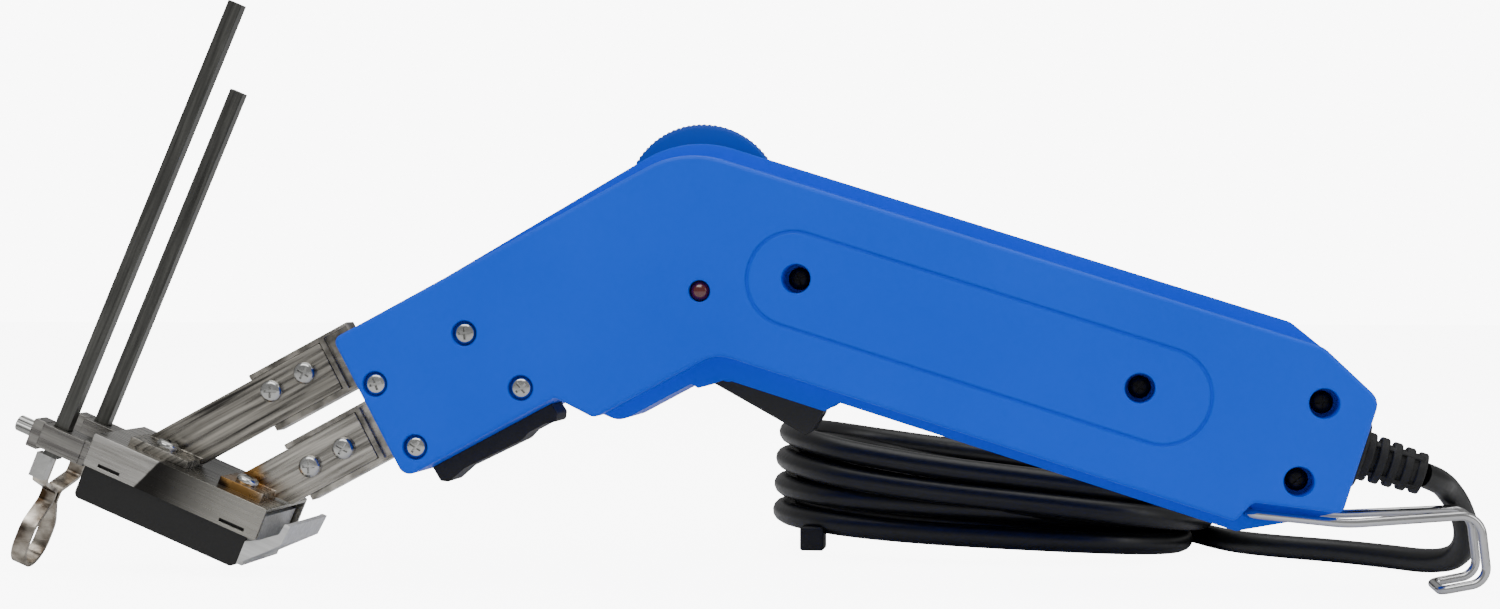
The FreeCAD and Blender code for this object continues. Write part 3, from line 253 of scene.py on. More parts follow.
@dataclass(frozen=True)
class Finish:
    """One material: its colours, gloss and small-scale surface."""

    name: str
    colour: Colour
    second: Colour
    roughness: float
    surface: Surface
    metallic: float = 0.0
    rough_spread: float = 0.08
    scale: float = 2600.0
    bump: float = 0.06
    coat: float = 0.0
    angle: float = 0.0
    softness: float = 0.0
    specular: float = 0.5
    bands: tuple[Band, ...] = ()

    def placed(self, wire: Wiring, origin: Point, angle: float) -> bpy.types.NodeSocket:
        """Object coordinates moved to an origin and turned about Y.

        Args:
            wire: The material's wiring.
            origin: Point that becomes zero.
            angle: Turn of the first axis down from +X, in degrees.

        Returns:
            The vector's socket.
        """
        place = wire.add("ShaderNodeMapping", vector_type="TEXTURE")
        place.inputs["Location"].default_value = origin
        place.inputs["Rotation"].default_value = (0.0, math.radians(angle), 0.0)
        coordinates = wire.add("ShaderNodeTexCoord")
        wire.join(coordinates.outputs["Object"], place.inputs["Vector"])
        return place.outputs["Vector"]

    def build(self) -> bpy.types.Material:
        """Makes the material, or returns the one made before.

        Returns:
            The material.
        """
        label = f"{self.name}_finish"
        known = bpy.data.materials.get(label)
        if known is not None:
            return known
        material = bpy.data.materials.new(label)
        material.use_nodes = True
        tree = material.node_tree
        wire = Wiring(tree)
        shader = tree.nodes["Principled BSDF"]
        shader.inputs["Metallic"].default_value = self.metallic
        shader.inputs["Coat Weight"].default_value = self.coat
        shader.inputs["Coat Roughness"].default_value = 0.15
        shader.inputs["Specular IOR Level"].default_value = self.specular
        vector = self.placed(wire, (0.0, 0.0, 0.0), self.angle)
        group = wire.add("ShaderNodeGroup")
        if self.surface in (Surface.BRUSHED, Surface.MOTTLED):
            group.node_tree = bpy.data.node_groups["brushed_lines"]
            shade_name = "Cloud" if self.surface is Surface.MOTTLED else "Lines"
            shade, height = group.outputs[shade_name], group.outputs["Lines"]
            contrast = 0.17
        else:
            group.node_tree = bpy.data.node_groups["moulded_grain"]
            shade, height = group.outputs["Shade"], group.outputs["Height"]
            group.inputs["Spread"].default_value = 1.0
            contrast = 0.22
        wire.join(vector, group.inputs["Vector"])
        group.inputs["Scale"].default_value = self.scale
        mask = wire.spread(shade, 0.5 - contrast, 0.5 + contrast, 0.0, 1.0)
        colour = wire.blend(mask, rgba(self.colour), rgba(self.second))
        for band in self.bands:
            step = wire.add("ShaderNodeGroup")
            step.node_tree = bpy.data.node_groups["band_step"]
            wire.join(self.placed(wire, band.origin, band.angle), step.inputs["Vector"])
            step.inputs["Start"].default_value = band.start
            step.inputs["End"].default_value = band.end
            step.inputs["Ripple"].default_value = band.ripple
            colour = wire.blend(step.outputs["Mask"], colour, rgba(band.colour))
        wire.join(colour, shader.inputs["Base Color"])
        low, high = self.roughness - self.rough_spread, self.roughness + self.rough_spread
        wire.join(wire.spread(height, 0.3, 0.7, max(low, 0.03), high), shader.inputs["Roughness"])
        bump = wire.add("ShaderNodeBump")
        bump.inputs["Strength"].default_value = self.bump
        bump.inputs["Distance"].default_value = 0.0002
        wire.join(height, bump.inputs["Height"])
        if self.softness:
            edge = wire.add("ShaderNodeBevel", samples=6)
            edge.inputs["Radius"].default_value = self.softness
            wire.join(edge.outputs["Normal"], bump.inputs["Normal"])
        wire.join(bump.outputs["Normal"], shader.inputs["Normal"])
        return material


NOSE_ANGLE = 28.0
GRIP_ANGLE = 17.5
SLED_ANGLE = 22.5
ROD_ANGLE = SLED_ANGLE + 0.8


@dataclass(frozen=True)
class LocalFrame:
    """A plane frame in XZ: its first axis at an angle below +X or -X, its second across it."""

    origin: Point
    angle: float
    direction: float

    def at(self, along: float, across: float, y: float = 0.0) -> Vector:
        """World point of a place given in millimetres.

        Args:
            along: Distance along the frame.
            across: Distance across it.
            y: World Y.

        Returns:
            The point in metres.
        """
        turn = math.radians(self.angle)
        cos, sin = math.cos(turn), math.sin(turn)
        if self.direction == 0.0:
            x, z = along * cos + across * sin, -along * sin + across * cos
        elif self.direction < 0.0:
            x, z = -along * cos + across * sin, -along * sin - across * cos
        else:
            x, z = along * cos - across * sin, -along * sin - across * cos
        return Vector((self.origin[0] + x, y, self.origin[2] + z)) * MM


APEX = (-6.3, 0.0, 106.8)
NOSE = LocalFrame(APEX, NOSE_ANGLE, -1.0)
GRIP = LocalFrame(APEX, GRIP_ANGLE, 1.0)
SLED = LocalFrame((-157.5, 0.0, 36.0), SLED_ANGLE, 0.0)


SHELL = Finish(
    "shell_blue", (0.0, 0.335, 0.93), (0.0, 0.355, 0.96), 0.42, Surface.MOULDED,
    scale=3200.0, bump=0.10, softness=0.0007, specular=0.25,
)
# Darker copy of the shell's blue: painted shade on the wheel's face, which sits back in its slot.
DIAL = Finish(
    "dial_blue", (0.0, 0.25, 0.70), (0.01, 0.285, 0.74), 0.40, Surface.MOULDED, bump=0.08, softness=0.0004,
    specular=0.25,
)
BLACK_PLASTIC = Finish(
    "moulded_black", (0.055, 0.058, 0.062), (0.085, 0.088, 0.092), 0.42, Surface.MOULDED, bump=0.12,
    softness=0.0006,
)
RUBBER = Finish(
    "soft_rubber", (0.045, 0.047, 0.05), (0.075, 0.077, 0.08), 0.58, Surface.MOULDED, bump=0.15,
    softness=0.0004,
)
SHEATH = Finish(
    "cord_sheath", (0.05, 0.055, 0.06), (0.08, 0.085, 0.09), 0.36, Surface.SHEATH, scale=900.0, bump=0.10,
    rough_spread=0.06,
)
HOLDER_UPPER = Finish(
    "upper_holder_steel", (0.17, 0.165, 0.155), (0.72, 0.70, 0.66), 0.34, Surface.MOTTLED, metallic=1.0,
    scale=700.0, bump=0.25, angle=-NOSE_ANGLE, rough_spread=0.12, softness=0.0003,
)
HOLDER_LOWER = Finish(
    "lower_holder_steel", (0.34, 0.33, 0.31), (0.86, 0.84, 0.80), 0.30, Surface.MOTTLED, metallic=1.0,
    scale=700.0, bump=0.20, angle=-NOSE_ANGLE, rough_spread=0.12, softness=0.0003,
)
LEG_UPPER = Finish(
    "upper_leg_steel", (0.24, 0.235, 0.225), (0.76, 0.74, 0.70), 0.30, Surface.BRUSHED, metallic=1.0,
    scale=900.0, bump=0.20, angle=-NOSE_ANGLE, rough_spread=0.10, softness=0.0003,
)
LEG_LOWER = Finish(
    "lower_leg_steel", (0.42, 0.41, 0.39), (0.88, 0.86, 0.82), 0.28, Surface.BRUSHED, metallic=1.0,
    scale=900.0, bump=0.20, angle=-NOSE_ANGLE, rough_spread=0.10, softness=0.0003,
    bands=(
        Band((0.62, 0.47, 0.27), tuple(NOSE.at(139.0, 23.0)), -NOSE_ANGLE, 0.004, -0.001, 0.006),
        Band((0.20, 0.16, 0.14), tuple(NOSE.at(144.0, 23.0)), -NOSE_ANGLE, 0.0015, -0.001, 0.004),
    ),
)
CHANNEL = Finish(
    "channel_steel", (0.62, 0.61, 0.59), (0.80, 0.79, 0.77), 0.27, Surface.BRUSHED, metallic=1.0,
    scale=1100.0, bump=0.15, angle=SLED_ANGLE, rough_spread=0.08, softness=0.0003,
    # Painted reflection: a dark slanted band near 16 mm along the sled, fading to flat grey over about 27 mm.
    bands=(
        Band((0.17, 0.165, 0.16), tuple(SLED.at(16.0, -5.0)), SLED_ANGLE + 24.0, -0.0002, 0.0004, 0.0006),
        Band((0.66, 0.65, 0.62), tuple(SLED.at(17.5, -5.0)), SLED_ANGLE + 8.0, 0.001, 0.028, 0.002),
    ),
)
SKI = Finish(
    "ski_steel", (0.84, 0.84, 0.83), (0.95, 0.95, 0.94), 0.40, Surface.BRUSHED, metallic=0.55, scale=1100.0,
    bump=0.10, angle=SLED_ANGLE, rough_spread=0.08, softness=0.0003,
)
CLAMP = Finish(
    "clamp_steel", (0.46, 0.45, 0.44), (0.66, 0.65, 0.63), 0.30, Surface.BRUSHED, metallic=1.0,
    scale=1000.0, bump=0.18, angle=SLED_ANGLE, rough_spread=0.08, softness=0.0003,
)
RUNNER = Finish(
    "runner_black", (0.05, 0.05, 0.05), (0.085, 0.083, 0.08), 0.36, Surface.MOULDED, scale=1500.0, bump=0.14,
    softness=0.0006,
)
ROD = Finish(
    "rod_steel", (0.33, 0.33, 0.32), (0.43, 0.43, 0.415), 0.34, Surface.BRUSHED, metallic=1.0, scale=1200.0,
    bump=0.12, angle=ROD_ANGLE - 90.0, rough_spread=0.08, softness=0.0002,
)
LOOP = Finish(
    "loop_alloy", (0.26, 0.20, 0.14), (0.84, 0.81, 0.76), 0.28, Surface.MOTTLED, metallic=1.0, scale=800.0,
    bump=0.2, rough_spread=0.12, softness=0.0002,
)
SCREW = Finish(
    "plated_screw", (0.60, 0.60, 0.59), (0.84, 0.84, 0.83), 0.20, Surface.PLAIN, metallic=1.0, scale=900.0,
    bump=0.05, rough_spread=0.06,
)
DARK_SCREW = Finish(
    "blackened_screw", (0.07, 0.07, 0.075), (0.12, 0.12, 0.125), 0.34, Surface.PLAIN, metallic=0.7, bump=0.06,
)
WIRE = Finish(
    "bail_wire", (0.72, 0.72, 0.72), (0.84, 0.84, 0.84), 0.18, Surface.PLAIN, metallic=1.0, scale=700.0,
    bump=0.04, rough_spread=0.06,
)
IRON = Finish(
    "core_iron", (0.22, 0.22, 0.23), (0.34, 0.34, 0.35), 0.45, Surface.BRUSHED, metallic=0.9, scale=1500.0,
    bump=0.5, angle=90.0,
)
COPPER = Finish(
    "copper_winding", (0.60, 0.30, 0.14), (0.76, 0.42, 0.22), 0.32, Surface.BRUSHED, metallic=1.0,
    scale=1300.0, bump=0.5, angle=90.0,
)
BOARD = Finish("board_green", (0.04, 0.25, 0.12), (0.06, 0.32, 0.16), 0.35, Surface.MOULDED, coat=0.3)
GREY_PART = Finish("component_grey", (0.15, 0.155, 0.16), (0.22, 0.225, 0.23), 0.45, Surface.MOULDED)
CERAMIC = Finish("fired_ceramic", (0.82, 0.79, 0.71), (0.88, 0.86, 0.80), 0.55, Surface.MOULDED, bump=0.2)
LENS = Finish(
    "lamp_red", (0.30, 0.01, 0.015), (0.42, 0.02, 0.03), 0.12, Surface.PLAIN, coat=0.8, bump=0.02,
    specular=0.7,
)
PIN_METAL = Finish(
    "pin_nickel", (0.74, 0.70, 0.58), (0.84, 0.80, 0.70), 0.22, Surface.PLAIN, metallic=1.0, bump=0.04,
)


# ---- studio -------------------------------------------------------------------------------------


@dataclass
class Studio:
    """Floor, soft lights and the camera."""

    eye: Point = (0.0916, -0.600, 0.0735)
    yaw: float = 8.0
    pitch: float = 0.46
    lens: float = 58.32
    floor_glow: float = 8.0
    surround_light: float = 0.34
    surround_seen: float = 9.0

    def floor(self) -> None:
        """A pale floor just under the tool."""
        mesh = bpy.data.meshes.new("studio_floor")
        shape = bmesh.new()
        bmesh.ops.create_grid(shape, x_segments=1, y_segments=1, size=4.0)
        bmesh.ops.translate(shape, verts=shape.verts, vec=(0.0, 0.0, -0.0002))
        shape.to_mesh(mesh)
        shape.free()
        floor = bpy.data.objects.new("studio_floor", mesh)
        bpy.context.collection.objects.link(floor)
        material = bpy.data.materials.new("studio_floor")
        material.use_nodes = True
        shader = material.node_tree.nodes["Principled BSDF"]
        shader.inputs["Base Color"].default_value = (0.90, 0.90, 0.90, 1.0)
        shader.inputs["Roughness"].default_value = 0.9
        shader.inputs["Specular IOR Level"].default_value = 0.1
        shader.inputs["Emission Color"].default_value = (1.0, 1.0, 1.0, 1.0)
        wire = Wiring(material.node_tree)
        seen = wire.add("ShaderNodeLightPath").outputs["Is Camera Ray"]
        wire.join(wire.math("MULTIPLY", seen, self.floor_glow), shader.inputs["Emission Strength"])
        mesh.materials.append(material)

    def world(self) -> None:
        """An even white surround, brighter to the camera than to the tool."""
        world = bpy.data.worlds.new("studio_white")
        world.use_nodes = True
        background = world.node_tree.nodes["Background"]
        background.inputs["Color"].default_value = (1.0, 1.0, 1.0, 1.0)
        wire = Wiring(world.node_tree)
        seen = wire.add("ShaderNodeLightPath").outputs["Is Camera Ray"]
        strength = wire.spread(seen, 0.0, 1.0, self.surround_light, self.surround_seen)
        wire.join(strength, background.inputs["Strength"])
        bpy.context.scene.world = world

    def light(self, name: str, place: Point, target: Point, size: tuple[float, float], watts: float) -> None:
        """One soft box.

        Args:
            name: Name of the light.
            place: Where it is.
            target: What it points at.
            size: Its width and height.
            watts: Its power.
        """
        lamp = bpy.data.lights.new(name, "AREA")
        lamp.shape = "RECTANGLE"
        lamp.size, lamp.size_y = size
        lamp.energy = watts
        holder = bpy.data.objects.new(name, lamp)
        holder.location = place
        aim = Vector(target) - Vector(place)
        holder.rotation_euler = aim.to_track_quat("-Z", "Y").to_euler()
        bpy.context.collection.objects.link(holder)

    def camera(self) -> None:
        """The camera at the side, slightly above the cord's coil."""
        lens = bpy.data.cameras.new("studio_camera")
        lens.lens = self.lens
        lens.sensor_width = 36.0
        lens.clip_start = 0.01
        camera = bpy.data.objects.new("studio_camera", lens)
        camera.location = self.eye
        camera.rotation_euler = (math.radians(90.0 - self.pitch), 0.0, math.radians(self.yaw))
        bpy.context.collection.objects.link(camera)
        bpy.context.scene.camera = camera

    def build(self) -> None:
        """Makes the whole studio."""
        self.floor()
        self.world()
        self.light("key_box", (-0.25, -0.75, 0.95), (0.0, 0.0, 0.06), (0.9, 0.6), 5.5)
        self.light("top_box", (0.05, 0.15, 1.05), (0.0, 0.0, 0.06), (1.2, 0.8), 5.0)
        self.light("side_box", (0.95, -0.45, 0.45), (0.05, 0.0, 0.06), (0.5, 0.7), 2.4)
        self.camera()


# ---- mesh helpers -------------------------------------------------------------------------------


def new_piece(name: str, shape: bmesh.types.BMesh, finish: Finish, body: str) -> bpy.types.Object:
    """Turns a bmesh into a dressed piece that rides on a body.

    Args:
        name: Name of the piece.
        shape: Its mesh, freed here.
        finish: Its finish.
        body: The body that it rides on.

    Returns:
        The new object.
    """
    mesh = bpy.data.meshes.new(name)
    shape.to_mesh(mesh)
    shape.free()
    mesh.materials.append(finish.build())
    piece = bpy.data.objects.new(name, mesh)
    bpy.context.collection.objects.link(piece)
    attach(piece, body)
    LOG.info("made %s on %s", name, body)
    return piece


def smooth_below(shape: bmesh.types.BMesh, degrees: float) -> None:
    """Shades faces smooth and marks the edges sharper than an angle."""
    limit = math.radians(degrees)
    for face in shape.faces:
        face.smooth = True
    for edge in shape.edges:
        if len(edge.link_faces) == 2 and edge.calc_face_angle(0.0) > limit:
            edge.smooth = False


def spun(profile: Sequence[tuple[float, float]], steps: int) -> bmesh.types.BMesh:
    """A closed solid of revolution about local Z.

    Args:
        profile: (radius, height) places in millimetres, from one end of the axis to the other.
        steps: Number of segments round the axis.

    Returns:
        The mesh in metres.
    """
    shape = bmesh.new()
    verts = [shape.verts.new((radius * MM, 0.0, height * MM)) for radius, height in profile]
    edges = [shape.edges.new(pair) for pair in zip(verts, verts[1:])]
    bmesh.ops.spin(
        shape, geom=verts + edges, cent=(0, 0, 0), axis=(0, 0, 1), angle=math.tau, steps=steps, use_merge=True
    )
    bmesh.ops.remove_doubles(shape, verts=shape.verts, dist=1e-7)
    bmesh.ops.recalc_face_normals(shape, faces=shape.faces)
    return shape


def seat(shape: bmesh.types.BMesh, place: Vector, direction: Vector, twist: float = 0.0) -> None:
    """Moves a mesh so that its local Z points along a direction from a place."""
    turn = direction.normalized().to_track_quat("Z", "Y").to_matrix().to_4x4()
    matrix = Matrix.Translation(place) @ turn @ Matrix.Rotation(math.radians(twist), 4, "Z")
    bmesh.ops.transform(shape, matrix=matrix, verts=shape.verts)


def joined(parts: Iterable[bmesh.types.BMesh]) -> bmesh.types.BMesh:
    """One bmesh of several, which are freed."""
    whole = bmesh.new()
    for part in parts:
        holder = bpy.data.meshes.new("holder")
        part.to_mesh(holder)
        part.free()
        whole.from_mesh(holder)
        bpy.data.meshes.remove(holder)
    return whole


def carved(base: bmesh.types.BMesh, tool: bmesh.types.BMesh) -> bmesh.types.BMesh:
    """The base without the tool, both freed.

    Args:
        base: The solid that is cut.
        tool: The solid that is taken away.

    Returns:
        The cut mesh.
    """
    objects = []
    for name, shape in (("carve_base", base), ("carve_tool", tool)):
        mesh = bpy.data.meshes.new(name)
        shape.to_mesh(mesh)
        shape.free()
        holder = bpy.data.objects.new(name, mesh)
        bpy.context.collection.objects.link(holder)
        objects.append(holder)
    modifier = objects[0].modifiers.new("carve", "BOOLEAN")
    modifier.operation = "DIFFERENCE"
    modifier.solver = "EXACT"
    modifier.object = objects[1]
    graph = bpy.context.evaluated_depsgraph_get()
    result = bmesh.new()
    result.from_mesh(objects[0].evaluated_get(graph).to_mesh())
    for holder in objects:
        mesh = holder.data
        bpy.data.objects.remove(holder)
        bpy.data.meshes.remove(mesh)
    return result


def block(size: Point, bevel: float = 0.0) -> bmesh.types.BMesh:
    """A box about the origin with bevelled edges, all in metres."""
    shape = bmesh.new()
    bmesh.ops.create_cube(shape, size=1.0)
    bmesh.ops.scale(shape, vec=size, verts=shape.verts)
    if bevel:
        bmesh.ops.bevel(
            shape, geom=list(shape.edges), offset=bevel, affect="EDGES", segments=3, profile=0.5, material=-1
        )
    return shape


def dress(finish: Finish, *nodes: str) -> None:
    """Gives CAD nodes a finish."""
    for node in nodes:
        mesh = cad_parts[node].data
        mesh.materials.clear()
        mesh.materials.append(finish.build())


# ---- housing and screws -------------------------------------------------------------------------


@dataclass
class Housing:
    """The two shells, the lamp and the rest under the nose."""

    lamp_place: tuple[float, float] = (14.4, 31.9)
    lamp_radius: float = 2.45

    def lamp(self) -> None:
        """A clear red dome set a little into its hole."""
        radius = self.lamp_radius
        steps = 10
        dome = [(0.0, -6.5), (radius, -6.5), (radius, 0.0)]
        for step in range(1, steps + 1):
            turn = 0.5 * math.pi * step / steps
            dome.append((radius * math.cos(turn), 0.75 * radius * math.sin(turn)))
        dome[-1] = (0.0, 0.75 * radius)
        shape = spun(dome, 40)
        seat(shape, GRIP.at(*self.lamp_place, -20.6 + 1.6), Vector((0, -1, 0)))
        smooth_below(shape, 50)
        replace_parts(new_piece("lamp_dome", shape, LENS, "handle"), "pilot_lamp")

    def build(self) -> None:
        """Dresses the housing."""
        dress(SHELL, "left_shell", "right_shell")
        dress(RUBBER, "nose_rest")
        dress(GREY_PART, "lamp_collar")
        self.lamp()


@dataclass
class ScrewSet:
    """Screws of one kind with a domed head and a cross recess."""

    name: str
    node: str
    finish: Finish
    slot: str
    head: float
    height: float
    shank: float
    length: float
    places: list[tuple[Vector, Vector, float]] = field(default_factory=list)

    def screw(self) -> bmesh.types.BMesh:
        """One screw about the origin, its head's underside at zero and its head along Z.

        Returns:
            The screw's mesh.
        """
        profile = [(0.0, -self.length), (self.shank, -self.length), (self.shank, 0.0)]
        profile.append((self.head * 0.97, 0.0))
        profile += [(self.head, self.height * 0.12), (self.head, self.height * 0.35)]
        steps = 7
        for step in range(1, steps + 1):
            turn = 0.5 * math.pi * step / steps
            lift = 0.35 + 0.65 * math.sin(turn) ** 0.85
            width = self.head * (1 - 0.55 * (1 - math.cos(turn))) if step < steps else 0.0
            profile.append((width, self.height * lift))
        profile.insert(-1, (self.head * 0.2, self.height))
        body = spun(profile, 36)
        for turn in (0.0, 90.0):
            slot = block((self.head * 1.15 * MM, 0.62 * MM, 2.4 * MM))
            spin = Matrix.Rotation(math.radians(turn), 3, "Z")
            bmesh.ops.rotate(slot, verts=slot.verts, cent=(0, 0, 0), matrix=spin)
            bmesh.ops.translate(slot, verts=slot.verts, vec=(0, 0, (self.height + 0.25) * MM))
            body = carved(body, slot)
        smooth_below(body, 32)
        return body

    def build(self) -> None:
        """Sets a screw at every place, as one piece."""
        screws = []
        for place, direction, twist in self.places:
            shape = self.screw()
            seat(shape, place, direction, twist)
            screws.append(shape)
        piece = new_piece(self.name, joined(screws), self.finish, "handle")
        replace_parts(piece, self.node)


def side_screws(
    name: str,
    node: str,
    finish: Finish,
    slot: str,
    spots: Sequence[tuple[float, float]],
    grid: LocalFrame,
    y: float,
) -> ScrewSet:
    """Housing screws that stand square to the left side.

    Args:
        name: Name of the piece.
        node: CAD node that it replaces.
        finish: Finish of the screws.
        slot: The record's material slot; not used.
        spots: Places in the local frame, in millimetres.
        grid: The local frame.
        y: World Y of the heads' undersides, in millimetres.

    Returns:
        The set, not built yet.
    """
    facing = Vector((0, -1, 0))
    places = [(grid.at(*spot, y), facing, 20.0 + 37.0 * number) for number, spot in enumerate(spots)]
    return ScrewSet(name, node, finish, slot, 2.75, 1.9, 1.5, 23.9, places)


@dataclass
class Screws:
    """Every screw that shows."""

    nose_end: float = 99.3
    grip_end: float = 174.8

    def build(self) -> None:
        """Makes the four kinds of screw."""
        end = self.nose_end
        nose_spots = ((end - 4.5, 14.9), (end - 6.2, 33.3), (end - 30.3, 14.4), (end - 36.5, 32.8))
        side_screws("nose_screw_set", "nose_screws", SCREW, "plated_screw", nose_spots, NOSE, -18.8).build()
        rear = self.grip_end
        grip_spots = ((35.9, 22.0), (rear - 53.3, 22.1), (rear - 11.8, 12.5), (rear - 11.8, 31.7))
        side_screws(
            "grip_screw_set", "grip_screws", DARK_SCREW, "blackened_screw", grip_spots, GRIP, -12.0
        ).build()
        facing = Vector((0, -1, 0))
        for label, across in (("upper", 1.8), ("lower", 23.5)):
            places = [
                (NOSE.at(end + along, across, -1.0), facing, 12.0 + 3 * along) for along in (16.1, 26.1)
            ]
            pair = ScrewSet(
                f"{label}_leg_screw_pair", f"{label}_leg_screws", SCREW, "plated_screw", 2.9, 1.9, 1.5, 4.9
            )
            pair.places = places
            pair.build()
        up = SLED.at(0, 1) - SLED.at(0, 0)
        feet = ScrewSet("foot_screw_pair", "foot_screws", SCREW, "plated_screw", 2.9, 1.9, 1.5, 8.9)
        feet.places = [(SLED.at(along, 2.0, -6.2), up, 15.0 + along) for along in (15.6, 38.6)]
        feet.build()


# ---- cutter, sled and legs ----------------------------------------------------------------------


@dataclass
class ThumbScrew:
    """A knurled thumb screw of a clamp."""

    side: int
    start: float = -21.0
    height: float = -6.0
    radius: float = 2.1
    length: float = 4.6
    shank: float = 1.2
    ridges: int = 20

    @property
    def name(self) -> str:
        """The clamp's side in words."""
        return "near" if self.side < 0 else "far"

    def build(self) -> None:
        """A ridged head with a dished face, and its shank."""
        edge = self.radius
        profile = [(0.0, 0.35), (edge * 0.45, 0.3), (edge * 0.72, 0.0), (edge * 0.9, 0.0), (edge, 0.25)]
        profile += [(edge, self.length - 0.25), (edge * 0.9, self.length), (self.shank, self.length)]
        profile += [(self.shank, self.length + 4.9), (0.0, self.length + 4.9)]
        shape = spun(profile, self.ridges * 2)
        for vert in shape.verts:
            reach = math.hypot(vert.co.x, vert.co.y)
            if reach > edge * 0.95 * MM:
                turn = round(math.atan2(vert.co.y, vert.co.x) / (math.pi / self.ridges))
                if turn % 2:
                    vert.co.x *= 0.93
                    vert.co.y *= 0.93
        along = SLED.at(1, 0) - SLED.at(0, 0)
        seat(shape, SLED.at(self.start, self.height, 12.5 * self.side), along)
        smooth_below(shape, 25)
        node = f"{self.name}_clamp_screw"
        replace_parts(new_piece(f"{self.name}_thumb_screw", shape, SCREW, node), node)


@dataclass
class Cutter:
    """Legs, sled, clamps, rods and the loop."""

    def build(self) -> None:
        """Dresses the metal pieces and makes the thumb screws."""
        dress(HOLDER_UPPER, "upper_blade_holder")
        dress(HOLDER_LOWER, "lower_blade_holder")
        dress(LEG_UPPER, "upper_leg")
        dress(LEG_LOWER, "lower_leg")
        dress(CHANNEL, "sled_channel")
        dress(SKI, "ski_plate")
        dress(CLAMP, "clamp_bar", "near_clamp", "far_clamp")
        dress(RUNNER, "sled_runner")
        dress(ROD, "near_rod", "far_rod")
        dress(SCREW, "loop_terminals")
        dress(LOOP, "loop_blade")
        for side in (-1, 1):
            ThumbScrew(side).build()


# ---- controls and inside ------------------------------------------------------------------------


@dataclass
class Dial:
    """The thumb wheel, with ridges round its rim."""

    place: tuple[float, float] = (5.6, 11.5)
    radius: float = 19.4
    half: float = 4.0
    ridges: int = 90

    def build(self) -> None:
        """Makes the wheel."""
        edge, half = self.radius, self.half
        profile = [(3.05, -half), (edge - 1.6, -half), (edge - 0.5, -half + 0.35), (edge, -half + 1.1)]
        profile += [(edge, half - 1.1), (edge - 0.5, half - 0.35), (edge - 1.6, half)]
        profile += [(3.05, half), (3.05, -half)]
        shape = spun(profile, self.ridges * 2)
        for vert in shape.verts:
            reach = math.hypot(vert.co.x, vert.co.y)
            if reach > (edge - 0.2) * MM:
                turn = round(math.atan2(vert.co.y, vert.co.x) / (math.pi / self.ridges))
                if turn % 2:
                    vert.co.x *= 1 - 0.25 / edge
                    vert.co.y *= 1 - 0.25 / edge
        seat(shape, GRIP.at(*self.place), Vector((0, -1, 0)))
        smooth_below(shape, 35)
        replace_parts(new_piece("dial_wheel", shape, DIAL, "dial"), "temperature_dial")


@dataclass
class Inside:
    """What the housing hides."""

    def build(self) -> None:
        """Dresses the hidden pieces."""
        dress(DIAL, "dial_shaft")
        dress(BLACK_PLASTIC, "trigger")
        dress(SCREW, "trigger_pin", "trigger_spring", "cord_clamp_screws")
        dress(IRON, "transformer_core")
        dress(COPPER, "primary_coil", "secondary_coil", "upper_bus_bar", "lower_bus_bar")
        dress(CERAMIC, "nose_insulator")
        dress(BOARD, "control_board")
        dress(GREY_PART, "board_components", "potentiometer", "power_switch", "cord_clamp")
        dress(SHEATH, "inner_cord")


# ---- tail and cord ------------------------------------------------------------------------------


@dataclass
class StrainRelief:
    """The tapered bush with broken ribs where the cord leaves the housing."""

    rear: float = 174.8
    across: float = 22.0
    flange: float = 2.4
    length: float = 15.0
    root: float = 6.0
    tip: float = 5.1
    rings: int = 4
    gap: float = 1.1

    def build(self) -> None:
        """Makes the bush."""
        thick = (self.length - self.rings * self.gap) / (self.rings + 1)
        core = 4.45
        profile = [(0.0, -4.4), (4.6, -4.4), (4.6, 0.0), (7.9, 0.0)]
        profile += [(8.4, 0.4), (8.4, 1.9), (7.9, self.flange)]
        height = self.flange
        for number in range(self.rings + 1):
            share = number / self.rings
            radius = self.root * (1 - share) + self.tip * share
            profile += [(radius - 0.25, height), (radius, height + 0.3), (radius, height + thick - 0.3)]
            profile += [(radius - 0.25, height + thick)]
            height += thick
            if number < self.rings:
                profile += [(core, height), (core, height + self.gap)]
                height += self.gap
        profile += [(3.3, height), (0.0, height)]
        shape = spun(profile, 48)
        bars = []
        for turn in range(4):
            bar = block((1.6 * MM, 1.3 * MM, (self.length - thick) * MM), 0.0001)
            lift = (self.flange + self.length / 2) * MM
            bmesh.ops.translate(bar, verts=bar.verts, vec=(4.6 * MM, 0, lift))
            spin = Matrix.Rotation(math.radians(45 + 90 * turn), 3, "Z")
            bmesh.ops.rotate(bar, verts=bar.verts, cent=(0, 0, 0), matrix=spin)
            bars.append(bar)
        shape = joined([shape, *bars])
        start = GRIP.at(self.rear, self.across)
        seat(shape, start, GRIP.at(self.rear + 1, self.across) - start)
        smooth_below(shape, 35)
        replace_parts(new_piece("relief_bush", shape, RUBBER, "handle"), "strain_relief")


